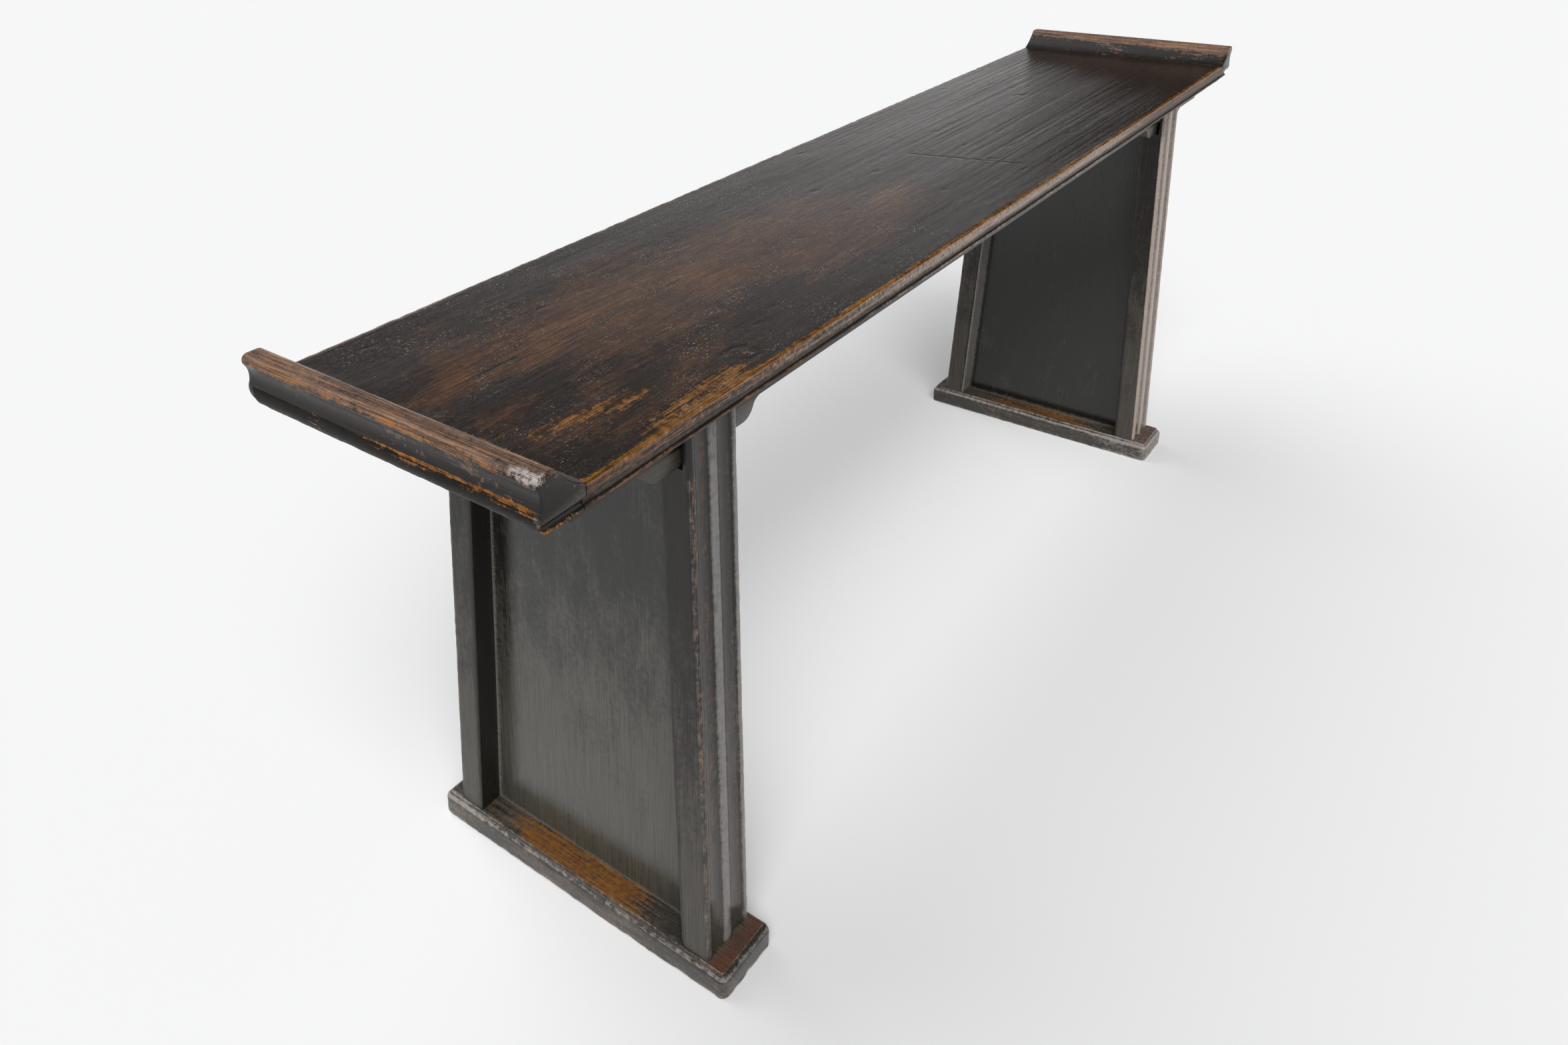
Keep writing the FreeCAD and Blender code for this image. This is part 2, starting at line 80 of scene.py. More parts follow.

# %% [markdown]
# ## Colours and nodes
# Paint is matched in sRGB, as on a screen, but the renderer counts light, so one function turns
# a hex colour to linear values. One more adds a node to a tree: its settings are keywords, and its
# inputs take a value or the output of another node.


# %% Colour and node helpers
def linear(code):
    """Linear colour from an sRGB hex code."""
    shares = [int(code[start:start + 2], 16) / 255 for start in (1, 3, 5)]
    return (*[s / 12.92 if s <= 0.04045 else ((s + 0.055) / 1.055) ** 2.4 for s in shares], 1.0)


def add(tree, kind, inputs, **settings):
    """Outputs of a new node. Its inputs are values or sockets to link from, by name or number."""
    made = tree.nodes.new("ShaderNode" + kind)
    for key, value in settings.items():
        setattr(made, key, value)
    for key, value in inputs.items():
        if isinstance(value, bpy.types.NodeSocket):
            tree.links.new(value, made.inputs[key])
        else:
            made.inputs[key].default_value = value
    return made.outputs


SMOOTH = {"interpolation_type": "SMOOTHSTEP"}  # for a range with soft ends
TONES = {"data_type": "RGBA"}  # for a mix of colours
print("black lacquer in linear light:", [round(value, 4) for value in linear("#1a1714")])

# %% [markdown]
# ## Light
# Dark lacquer shows little but what it mirrors. The floor is white, so the upright faces mirror it and
# turn grey. The upper face mirrors the room behind the table. In the photograph a sheen lies over its
# far half and stops along a line at the front, so the room is pale near the horizon, dimmer higher up,
# and has one dark bay to the right. Two broad suns give the light itself.

# %% Light
KEY = {"from": (-0.58, -0.42, 0.80), "strength": 2.3, "spread": 40}  # spread in degrees
FILL = {"from": (-0.10, 0.60, 0.90), "strength": 1.15, "spread": 50}
ROOM_PALE = "#f4f4f4"
ROOM_DIM = "#46474a"
BAY_DARK = "#222224"
PALE_RISE = (10.5, 27)  # degrees above the horizon between which the pale part fades
PALE_FADE = 2.2  # power of that fade
BAY_WAY = (1, 21)  # degrees from +X towards +Y, and above the horizon
BAY_REACH = (19.7, 21.9)  # degrees from that way between which the dark bay fades

for name, lamp in (("key_sun", KEY), ("fill_sun", FILL)):
    sun = bpy.data.lights.new(name, "SUN")
    sun.energy = lamp["strength"]
    sun.angle = math.radians(lamp["spread"])
    holder = bpy.data.objects.new(name, sun)
    holder.rotation_euler = Vector(lamp["from"]).to_track_quat("Z", "Y").to_euler()
    scene.collection.objects.link(holder)

room = bpy.data.worlds.new("studio_room")
room.use_nodes = True
air = room.node_tree
air.nodes.clear()
way = add(air, "TexCoord", {})["Generated"]
height = add(air, "SeparateXYZ", {0: way})["Z"]
low, high = [math.sin(math.radians(angle)) for angle in PALE_RISE]
pale_part = add(air, "MapRange", {0: height, 1: high, 2: low})[0]
pale_part = add(air, "Math", {0: pale_part, 1: PALE_FADE}, operation="POWER")[0]
tone = add(air, "Mix", {0: pale_part, 6: linear(ROOM_DIM), 7: linear(ROOM_PALE)}, **TONES)[2]
turn, rise = [math.radians(angle) for angle in BAY_WAY]
bay_way = (math.cos(turn) * math.cos(rise), math.sin(turn) * math.cos(rise), math.sin(rise))
towards_bay = add(air, "VectorMath", {0: way, 1: bay_way}, operation="DOT_PRODUCT")["Value"]
inner, outer = [math.cos(math.radians(angle)) for angle in BAY_REACH]
bay = add(air, "MapRange", {0: towards_bay, 1: outer, 2: inner}, **SMOOTH)[0]
tone = add(air, "Mix", {0: bay, 6: tone, 7: linear(BAY_DARK)}, **TONES)[2]
glow = add(air, "Background", {"Color": tone})[0]
add(air, "OutputWorld", {"Surface": glow})
scene.world = room
print("two suns and a room that is pale up to", PALE_RISE[0], "degrees")

# %% [markdown]
# ## Floor
# A sheet of white studio paper that runs out to the horizon, to catch the shadow and be mirrored.

# %% Floor
FLOOR_HALF = 80.0  # metres
PAPER = "#fbfbfb"

shape = bmesh.new()
bmesh.ops.create_grid(shape, x_segments=1, y_segments=1, size=FLOOR_HALF)
floor_mesh = bpy.data.meshes.new("floor")
shape.to_mesh(floor_mesh)
shape.free()
floor = bpy.data.objects.new("floor", floor_mesh)
scene.collection.objects.link(floor)
paper = bpy.data.materials.new("white_studio_paper")
paper.use_nodes = True
matt = paper.node_tree.nodes["Principled BSDF"].inputs
# paper gives the eye an even white without a gleam
matt["Base Color"].default_value = linear(PAPER)
matt["Roughness"].default_value = 1.0
matt["Specular IOR Level"].default_value = 0.0
floor_mesh.materials.append(paper)
print("floor", 2 * FLOOR_HALF, "m wide")

# %% [markdown]
# ## Outlines
# A joiner planes a board to one profile along its whole length. The same way, a piece starts here as an
# outline of a few corners, some of them joined by arcs, which is then stretched along the grain and cut
# into short lengths, so that there are points to wear down later.


# %% Outline helpers
def bow(start, end, swell, share):
    """Point at a share of the arc from start to end that swells to the right of its chord."""
    chord = Vector(end) - Vector(start)
    if not swell:
        return Vector(start) + chord * share
    half = 2 * math.atan2(2 * abs(swell), chord.length)
    radius = chord.length / (2 * math.sin(half))
    turn = half * (2 * share - 1)
    along = 0.5 + radius * math.sin(turn) / chord.length
    out = math.copysign(radius * (math.cos(turn) - math.cos(half)), swell) / chord.length
    return Vector(start) + chord * along + Vector((chord.y, -chord.x)) * out


def run_of(corners):
    """Points along (a, b, swell, pieces) corners: each side leads to its corner in that many pieces."""
    points = []
    for last, corner in zip(corners[-1:] + corners[:-1], corners):
        steps = corner[3]
        points += [bow(last[:2], corner[:2], corner[2], step / steps) for step in range(1, steps + 1)]
    return points


def mirrored(corners, across):
    """The corners again on the other side of the middle, after a straight side of so many pieces."""
    sides = [(0, across)] + [corner[2:] for corner in reversed(corners[1:])]
    return [(-corner[0], corner[1], *side) for corner, side in zip(reversed(corners), sides)]


def outline(shape, place, corners):
    """A face through the corners, which run anticlockwise. place turns two numbers into a point."""
    return shape.faces.new([shape.verts.new(place(*point)) for point in run_of(corners)])


def stretch(shape, face, run, pieces):
    """Extrudes a face along run, and cuts that length into pieces."""
    made = bmesh.ops.extrude_face_region(shape, geom=[face])["geom"]
    far = {item for item in made if isinstance(item, bmesh.types.BMVert)}
    bmesh.ops.translate(shape, vec=run, verts=list(far))
    rails = {edge for vert in far for edge in vert.link_edges if edge.other_vert(vert) not in far}
    bmesh.ops.subdivide_edges(shape, edges=list(rails), cuts=pieces - 1, use_grid_fill=True)


def whole_region(faces):
    """The faces with their edges and points, as the bisecting operator asks for them."""
    edges = {edge for face in faces for edge in face.edges}
    return [*faces, *edges, *{vert for face in faces for vert in face.verts}]


def ease(value, low, high):
    """0 at low, 1 at high, and a smooth rise between them."""
    share = min(max((value - low) / (high - low), 0.0), 1.0)
    return share * share * (3 - 2 * share)


HAIR = 1e-5  # metres: points this close lie on the same level
WELD = 1e-6  # metres: points this close are one point
print("a half round over 2 mm rises", round(-bow((0, 0), (2, 0), 1, 0.5).y, 3), "mm")

# %% [markdown]
# ## Wear
# Hands, sleeves and brooms round off what stands out, and dust stays where nothing reaches. Both follow
# from the shape: where the surface turns outwards it wears, where it turns inwards it keeps dirt. The
# turn is measured at each vertex, spread to its neighbours, kept as an attribute for the paint, and
# used to nick the arrises for real.


# %% Wear helpers
ROUND_ABOVE = math.radians(33)  # edges that turn more are rounded
SHADE_SHARP = math.radians(50)  # edges that turn more are shaded sharp
WAVE = (260 * MM, 70 * MM)  # length of a slow wave along and across the grain
NICK = 17 * MM  # spacing of nicks


def round_arrises(shape, radius, among):
    """Bevels the outward edges that turn sharply and pass the test among."""
    shape.normal_update()
    edges = [edge for edge in shape.edges if edge.calc_face_angle_signed(0.0) > ROUND_ABOVE]
    edges = [edge for edge in edges if among(edge)]
    bmesh.ops.bevel(shape, geom=edges, offset=radius, offset_type="OFFSET", segments=2, profile=0.5,
                    affect="EDGES", material=-1, clamp_overlap=True)


def spread(shape, values, passes):
    """Values smoothed over neighbouring vertices, once in each pass."""
    ends = np.array([[vert.index for vert in edge.verts] for edge in shape.edges])
    count = 1 + np.bincount(ends.ravel(), minlength=len(values))
    for _ in range(passes):
        total = values.copy()
        np.add.at(total, ends[:, 0], values[ends[:, 1]])
        np.add.at(total, ends[:, 1], values[ends[:, 0]])
        values = total / count
    return values


def turning(shape, passes):
    """How far the surface turns near each vertex, in radians: above 0 on arrises, below 0 in corners."""
    bmesh.ops.recalc_face_normals(shape, faces=shape.faces)
    shape.verts.index_update()
    turn = np.zeros(len(shape.verts))
    for edge in shape.edges:
        angle = edge.calc_face_angle_signed(0.0)
        for vert in edge.verts:
            turn[vert.index] += angle / 2
    return spread(shape, turn, passes)


def weather(shape, arris, grain, wave, nick, seed):
    """Moves the skin in slow waves along the grain, and nicks the arrises. Heights are in metres."""
    shape.normal_update()
    drift = Vector((seed * 7.3, seed * 3.1, seed * 5.7))
    wave_scale = Vector([1 / WAVE[0] if axis == grain else 1 / WAVE[1] for axis in "xyz"])
    nick_scale = 1 / NICK
    for vert, share in zip(shape.verts, arris):
        lift = wave * noise.noise(vert.co * wave_scale + drift)
        chip = max(0.0, noise.noise(vert.co * nick_scale + drift))
        chip = chip + 0.5 * noise.noise(vert.co * 3 * nick_scale)
        vert.co += vert.normal * (lift - nick * share * chip)


def hand_over(shape, node, paints, marks):
    """Turns a finished shape into the piece that stands for a node, with its marks as attributes."""
    name = "worn_" + node
    bmesh.ops.recalc_face_normals(shape, faces=shape.faces)
    mesh = bpy.data.meshes.new(name)
    shape.to_mesh(mesh)
    shape.free()
    mesh.shade_smooth()
    mesh.set_sharp_from_angle(angle=SHADE_SHARP)
    for paint in paints:
        mesh.materials.append(paint)
    for mark, values in marks.items():
        held = mesh.attributes.new(mark, "FLOAT", "POINT")
        held.data.foreach_set("value", np.asarray(values, np.float32))
    piece = bpy.data.objects.new(name, mesh)
    scene.collection.objects.link(piece)
    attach(piece, "root")
    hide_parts(node)
    print(name, len(mesh.vertices), "vertices")


def edge_marks(turn, gain):
    """The arris and hollow marks, 0 to 1, from the turn."""
    return {"arris": np.clip(turn * gain, 0, 1), "hollow": np.clip(-turn * gain, 0, 1)}


print("arrises sharper than", round(math.degrees(ROUND_ABOVE)), "degrees are rounded")

# %% [markdown]
# ## Lacquered elm
# The wood is elm under a thin dark lacquer, polished by use. The eye sees three layers: black lacquer
# where it is whole, a brown haze where it is rubbed thin, and honey wood where it is gone. One recipe
# mixes them for every piece. It reads a fine figure stretched along the grain, slow islands, and the
# marks left on each mesh: the wear, painted shade carried by the haze mark on legs and panels, and
# painted highlights in the pale mark, which lay a pale sheen colour over the paint. The bare wood also
# lies a hair lower than the lacquer, so the same masks drive a bump.

# %% Lacquered elm
FIGURE = (70 * MM, 1.5 * MM)  # length and width of a streak of figure
BAND = (700 * MM, 16 * MM)  # of a band of growth
ISLAND = (105 * MM, 52 * MM)  # of an island of whole lacquer
MOTTLE = 8 * MM
SPECKLE = 1.3 * MM
FLECK = (5 * MM, 1.3 * MM)  # chipped specks, painted pale as glints that catch the light
SCRATCH = (12 * MM, 0.9 * MM)
CLUSTER = 75 * MM  # spacing of clusters of scratches
RELIEF = 0.6 * MM  # height that a full bump stands for
DUST = "#8b877e"
CHIP_AND_GLINT = "#b4b3b0"  # painted glints on the specks, and pale ground where scratches break the film
# sums of marks between which a layer comes to show
BROWN_SHOWS = (0.11, 0.33)
RUST_SHOWS = (0.40, 0.70)
BARE_SHOWS = {1: 0.46, 2: 0.78}
DUST_SHOWS = {1: 0.25, 2: 1.0}
SHEEN_SHOWS = {1: 0.45, 2: 0.95}


def grain_scale(grain, size):
    """Mapping scale that makes a pattern of (length, width) lie along the grain."""
    return [1 / size[0] if axis == grain else 1 / size[1] for axis in "xyz"]


def pattern(tree, spot, scale, **shape):
    """Noise about 0 with its own scale along each axis."""
    place = add(tree, "Mapping", {"Vector": spot, "Scale": scale})[0]
    made = add(tree, "TexNoise", {"Vector": place, "Scale": 1.0, **shape})["Fac"]
    return add(tree, "Math", {0: made, 1: 0.5}, operation="SUBTRACT")[0]


def blend_of(tree, start, *terms):
    """A start with (output, factor) terms added to it."""
    for term, factor in terms:
        start = add(tree, "Math", {0: term, 1: factor, 2: start}, operation="MULTIPLY_ADD")[0]
    return start


def lacquered_elm(name, grain, look):
    """Lacquer over elm, with the colours and shares of a look."""
    paint = bpy.data.materials.new(name)
    paint.use_nodes = True
    tree = paint.node_tree
    tree.nodes.clear()
    spot = add(tree, "TexCoord", {})["Object"]
    arris, hollow, bare, haze_and_shade, pale, scuff = [
        add(tree, "Attribute", {}, attribute_name=mark)["Fac"]
        for mark in ("arris", "hollow", "bare", "haze_and_shade", "pale", "scuff")]
    figure = pattern(tree, spot, grain_scale(grain, FIGURE), Detail=6.0, Roughness=0.66)
    band = pattern(tree, spot, grain_scale(grain, BAND), Detail=3.0)
    island = pattern(tree, spot, grain_scale(grain, ISLAND), Detail=6.0, Roughness=0.66, Distortion=0.3)
    mottle = pattern(tree, spot, [1 / MOTTLE] * 3, Detail=5.0, Roughness=0.72)
    speckle = pattern(tree, spot, [1 / SPECKLE] * 3, Detail=2.0)

    # the film: black where whole, brown where thin, rust where thinnest, streaked along the grain
    ragged = look["ragged"]
    # the haze mark thins the film to brown; on the legs and panels it also carries painted shade
    thinned = blend_of(tree, haze_and_shade, (haze_and_shade, look["haze_and_shade"] - 1), (island, ragged), (figure, 0.45 * ragged),
                       (band, 0.25 * ragged), (mottle, 0.75 * ragged))
    first, full = [value - look["thin"] for value in BROWN_SHOWS]
    thin = add(tree, "MapRange", {0: thinned, 1: first, 2: full}, **SMOOTH)[0]
    colour = add(tree, "Mix", {0: thin, 6: linear(look["black"]), 7: linear(look["brown"])}, **TONES)[2]
    thinned = blend_of(tree, thinned, (figure, 0.9 * ragged))
    first, full = [value - look["thin"] for value in RUST_SHOWS]
    thin = add(tree, "MapRange", {0: thinned, 1: first, 2: full, 4: 0.9}, **SMOOTH)[0]
    colour = add(tree, "Mix", {0: thin, 6: colour, 7: linear(look["rust"])}, **TONES)[2]
    streak = blend_of(tree, figure, (speckle, 0.3))
    darkest, lightest = 0.8 - 0.4 * ragged, 1.2 + 0.3 * ragged
    streak = add(tree, "MapRange", {0: streak, 1: -0.18, 2: 0.18, 3: darkest, 4: lightest})[0]
    colour = add(tree, "Mix", {0: 1.0, 6: colour, 7: streak}, blend_type="MULTIPLY", **TONES)[2]

    # the wood: bare on rubbed arrises and fields, darker in its pores
    torn = 0.35 + 0.65 * ragged
    worn = blend_of(tree, bare, (arris, look["rub"]), (figure, 1.2 * torn), (island, 0.8 * torn),
                    (mottle, 1.2 * torn))
    bared = add(tree, "MapRange", {0: worn, **BARE_SHOWS}, **SMOOTH)[0]
    pore = blend_of(tree, figure, (mottle, 0.55))
    pore = add(tree, "MapRange", {0: pore, 1: -0.14, 2: 0.16}, **SMOOTH)[0]
    timber = add(tree, "Mix", {0: pore, 6: linear(look["wood"][0]), 7: linear(look["wood"][1])}, **TONES)[2]
    colour = add(tree, "Mix", {0: bared, 6: colour, 7: timber}, **TONES)[2]

    # dust in the hollows, a painted sheen on the arrises and where the pale mark asks for it, scratches in
    # clusters
    powder = blend_of(tree, hollow, (mottle, 0.8), (speckle, 0.8))
    powder = add(tree, "MapRange", {0: powder, **DUST_SHOWS, 4: look["dust"]}, **SMOOTH)[0]
    colour = add(tree, "Mix", {0: powder, 6: colour, 7: linear(DUST)}, **TONES)[2]
    sheen_share = blend_of(tree, pale, (arris, look["pale"]), (mottle, 1.2 * ragged), (figure, 0.8 * ragged))
    sheen_share = add(tree, "MapRange", {0: sheen_share, **SHEEN_SHOWS, 4: look["sheen_share"]}, **SMOOTH)[0]
    colour = add(tree, "Mix", {0: sheen_share, 6: colour, 7: linear(look["sheen"])}, **TONES)[2]
    cluster = pattern(tree, spot, [1 / CLUSTER] * 3, Detail=3.0)
    cluster = add(tree, "MapRange", {0: cluster, 1: -0.12, 2: 0.20}, **SMOOTH)[0]
    cluster = add(tree, "Math", {0: cluster, 1: scuff}, operation="MULTIPLY")[0]
    for turn, size, least in ((0, FLECK, 0.14), (74, SCRATCH, 0.18)):
        place = add(tree, "Mapping", {"Vector": spot, "Rotation": (0, 0, math.radians(turn))})[0]
        scratch = pattern(tree, place, grain_scale("x", size), Detail=3.0)
        scratch = add(tree, "MapRange", {0: scratch, 1: least, 2: least + 0.06}, **SMOOTH)[0]
        scratch = add(tree, "Math", {0: scratch, 1: cluster}, operation="MULTIPLY")[0]
        colour = add(tree, "Mix", {0: scratch, 6: colour, 7: linear(CHIP_AND_GLINT)}, **TONES)[2]

    rough = blend_of(tree, speckle, (mottle, 0.6))
    rough = add(tree, "MapRange", {0: rough, 1: -0.2, 2: 0.2, 3: look["gloss"][0], 4: look["gloss"][1]})[0]
    rough = blend_of(tree, rough, (bared, 0.12), (powder, 0.4))
    level = blend_of(tree, figure, (bared, -0.3), (mottle, 0.5), (speckle, 0.25))
    skin = add(tree, "Bump", {"Height": level, "Strength": look["relief"], "Distance": RELIEF})["Normal"]
    surface = add(tree, "BsdfPrincipled", {
        "Base Color": colour, "Roughness": rough, "Normal": skin, "IOR": 1.5,
        "Specular IOR Level": look["mirror"]})
    add(tree, "OutputMaterial", {"Surface": surface["BSDF"]})
    return paint


# A look holds colours and shares: thin is how worn the film is, haze and rub are how much the marks
# count, gloss is the range of roughness, and ragged is how torn the borders are. sheen is the colour
# of the painted sheen, and its share sets how strongly it is painted.
# The top gives the eye warm black, brown where sleeves thinned it, and honey where the film is gone.
TOP_LOOK = {
    "black": "#28201b", "brown": "#432e20", "rust": "#604026", "wood": ("#4a2c12", "#926226"),
    "thin": 0.02, "haze_and_shade": 0.35, "rub": 0.45, "gloss": (0.08, 0.25), "dust": 0.5, "pale": 0.1,
    "sheen": "#ac9d92", "sheen_share": 0.8, "relief": 0.38, "mirror": 0.5, "ragged": 1.0}
# The moulded edge has the same film gone dull over darker wood, with a grey-brown painted sheen.
EDGE_LOOK = TOP_LOOK | {
    "mirror": 0.2, "gloss": (0.3, 0.5), "sheen": "#b09c8c", "wood": ("#3b271a", "#77553c")}
# The flanges are handled most, so they are dry, streaked brown on the crest and bare on the nose.
FLANGE_LOOK = TOP_LOOK | {
    "black": "#1c1815", "brown": "#685041", "rust": "#86634a", "thin": 0.0, "rub": 0.62, "haze_and_shade": 0.6,
    "wood": ("#4a2a10", "#9f682c"), "gloss": (0.18, 0.42), "pale": 0.3, "mirror": 0.26, "ragged": 1.5,
    "sheen": "#b9b4b0"}
# Under the flanges the film is dull, and its black is darker, as painted shade.
UNDER_LOOK = FLANGE_LOOK | {"mirror": 0.08, "gloss": (0.4, 0.6), "black": "#14110f"}
# The legs are a neutral grey-black, with a soft painted sheen on the beads and reddish wood in one groove.
LEG_LOOK = TOP_LOOK | {
    "black": "#1f1c19", "brown": "#413d37", "rust": "#4a3a30", "wood": ("#2e1d13", "#6b4227"),
    "thin": 0.0, "rub": 0.5, "sheen": "#a6a4a1", "sheen_share": 0.44, "gloss": (0.09, 0.22), "relief": 0.4,
    "pale": 0.35, "haze_and_shade": 0.55, "mirror": 0.3, "ragged": 0.5}
# The front right leg carries a painted glare: a pale, warm grey sheen.
GLARE_LOOK = LEG_LOOK | {
    "sheen": "#bba99c", "sheen_share": 0.68, "ragged": 0.4, "wood": ("#54382a", "#8d6650")}
# The panels keep the thickest film, smooth enough to mirror the floor.
PANEL_LOOK = LEG_LOOK | {
    "black": "#1b1a17", "brown": "#45433c", "rust": "#4c3e33", "rub": 0.2, "gloss": (0.07, 0.15),
    "relief": 0.25, "pale": 0.0, "haze_and_shade": 0.6, "mirror": 0.5, "ragged": 0.45}
# The feet are greyed and rough from brooms and wet floors, with golden wood between the legs.
FOOT_LOOK = LEG_LOOK | {
    "black": "#37342f", "brown": "#574d44", "rust": "#613f31", "wood": ("#52301a", "#865a24"),
    "thin": 0.16, "rub": 0.25, "gloss": (0.14, 0.36), "relief": 0.7, "dust": 0.2, "haze_and_shade": 0.45,
    "mirror": 0.5, "ragged": 1.0, "sheen_share": 0.6, "sheen": "#b0a8a1"}
# Aprons, spandrels and rails were never touched, so they are even and a little dusty.
APRON_LOOK = LEG_LOOK | {"gloss": (0.2, 0.35), "pale": 0.0, "rub": 0.15}

top_paint = lacquered_elm("worn_lacquer_on_elm_top", "x", TOP_LOOK)
edge_paint = lacquered_elm("dull_lacquer_on_elm_edge", "x", EDGE_LOOK)
flange_paint = lacquered_elm("worn_lacquer_on_elm_flange", "y", FLANGE_LOOK)
under_paint = lacquered_elm("dull_lacquer_under_flange", "y", UNDER_LOOK)
leg_paint = lacquered_elm("worn_lacquer_on_elm_leg", "z", LEG_LOOK)
glare_paint = lacquered_elm("glare_painted_lacquer_on_elm_leg", "z", GLARE_LOOK)
panel_paint = lacquered_elm("glossy_lacquer_on_elm_panel", "z", PANEL_LOOK)
foot_paint = lacquered_elm("scuffed_lacquer_on_elm_foot", "y", FOOT_LOOK)
apron_paint = lacquered_elm("dusty_lacquer_on_elm_apron", "x", APRON_LOOK)
rail_paint = lacquered_elm("dusty_lacquer_on_elm_rail", "y", APRON_LOOK)
print("ten lacquers, streaks", FIGURE[1] / MM, "mm wide")

# %% [markdown]
# ## Bare elm
# Battens, pegs and wedges were never lacquered. Old elm that only air has reached is a dry grey-brown
# with long open pores, and it has no gloss.

# %% Bare elm
PORE = (60 * MM, 1.5 * MM)  # length and width of a pore, coarser than life so that it shows
PORE_DARK = "#4a3826"
AGED = "#7b6044"


def bare_elm(name, grain):
    """Unfinished old elm with dark pores along the grain."""
    paint = bpy.data.materials.new(name)
    paint.use_nodes = True
    tree = paint.node_tree
    tree.nodes.clear()
    spot = add(tree, "TexCoord", {})["Object"]
    pore_spot = add(tree, "Mapping", {"Vector": spot, "Scale": grain_scale(grain, PORE)})[0]
    pore = add(tree, "TexNoise", {"Vector": pore_spot, "Scale": 1.0, "Detail": 4.0})["Fac"]
    share = add(tree, "MapRange", {0: pore, 1: 0.35, 2: 0.65})[0]
    colour = add(tree, "Mix", {0: share, 6: linear(PORE_DARK), 7: linear(AGED)}, **TONES)[2]
    skin = add(tree, "Bump", {"Height": pore, "Strength": 0.5, "Distance": RELIEF})["Normal"]
    surface = add(tree, "BsdfPrincipled", {"Base Color": colour, "Roughness": 0.8, "Normal": skin})
    add(tree, "OutputMaterial", {"Surface": surface["BSDF"]})
    return paint


across_elm = bare_elm("bare_elm_across", "y")
upright_elm = bare_elm("bare_elm_upright", "z")
HIDDEN = {"cross_batten": across_elm, "end_batten_pegs": upright_elm, "foot_wedges": upright_elm,
          "end_apron": rail_paint, "trestle_rail": rail_paint}
for node, paint in HIDDEN.items():
    for end in ENDS:
        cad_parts[f"{node}_{end}"].data.materials[0] = paint
for node in ("front_apron", "back_apron"):
    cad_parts[node].data.materials[0] = apron_paint
print("hidden pieces painted")

# %% [markdown]
# ## The plank
# One thick board carries the whole look of the table. Its long edges are moulded with a bead, a cove
# and a fascia, so it starts as that section and is stretched along the grain. Its skin is then worn:
# slow waves, furrows where soft wood sank in the far third, a knot, a crack along the grain and another
# across it. Three bisecting planes give the cross crack its own points, because the cut lengths are too
# long to draw it. Below the arris the plank takes a second, duller lacquer.

# %% Plank
HALF_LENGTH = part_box("end_batten_right")[0].x
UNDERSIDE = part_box("top_plank")[0].z
HALF_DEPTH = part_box("top_plank")[1].y
TOP_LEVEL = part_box("top_plank")[1].z
BEAD_ROOT = HALF_DEPTH - 6 * MM
BEAD_TOP = UNDERSIDE + 6 * MM
FASCIA_FOOT = (HALF_DEPTH - 1.2 * MM, TOP_LEVEL - 15 * MM)
EDGE_ROUND = 3 * MM
EDGE = [
    (BEAD_ROOT, UNDERSIDE, 0, 24),
    (BEAD_ROOT, BEAD_TOP, 3 * MM, 7),
    (*FASCIA_FOOT, -2.6 * MM, 6),
    (HALF_DEPTH, TOP_LEVEL - EDGE_ROUND, 0.8 * MM, 5),
    (HALF_DEPTH - EDGE_ROUND, TOP_LEVEL, EDGE_ROUND * (1 - math.cos(math.pi / 4)), 4)]
ACROSS = 184  # pieces from arris to arris
ALONG = 330  # pieces from end to end
CRACK_HALF = 1.6 * MM  # half the width of the crack across the grain
CRACK_NEAR = 12 * MM  # faces this close to it are cut
CRACK = (Vector((0.085, 0.036, TOP_LEVEL)), Vector((0.134, -0.150, TOP_LEVEL)))

plank = bmesh.new()
section = outline(plank, lambda a, b: Vector((-HALF_LENGTH, a, b)), EDGE + mirrored(EDGE, ACROSS))
stretch(plank, section, Vector((2 * HALF_LENGTH, 0, 0)), ALONG)
crack_run = CRACK[1] - CRACK[0]
crack_side = Vector((-crack_run.y, crack_run.x, 0)).normalized()


def beside_crack(point):
    """Distance across the crack, and share of the way along it."""
    from_start = point - CRACK[0]
    return from_start.dot(crack_side), from_start.dot(crack_run) / crack_run.length_squared


def is_cracked(face):
    """Whether a face of the upper skin is close enough to the crack to be cut."""
    across, along = beside_crack(face.calc_center_median())
    return abs(across) < CRACK_NEAR and -0.05 < along < 1.05 and face.normal.z > 0.9


cracked = [face for face in plank.faces if is_cracked(face)]
for offset in (-CRACK_HALF, 0, CRACK_HALF):
    made = bmesh.ops.bisect_plane(plank, geom=whole_region(cracked), dist=WELD,
                                  plane_co=CRACK[0] + crack_side * offset, plane_no=crack_side)["geom"]
    cracked = [item for item in made if isinstance(item, bmesh.types.BMFace)]
print("plank drawn with", len(plank.verts), "points")

# %% [markdown]
# ## Worn fields of the plank
# Where people sat and worked, the lacquer went first: a brown field in the middle of the near half,
# honey wood by the front arris near the left trestle. The far third kept its black. These fields are
# laid down as soft ovals in millimetres, and the paint breaks up their borders.

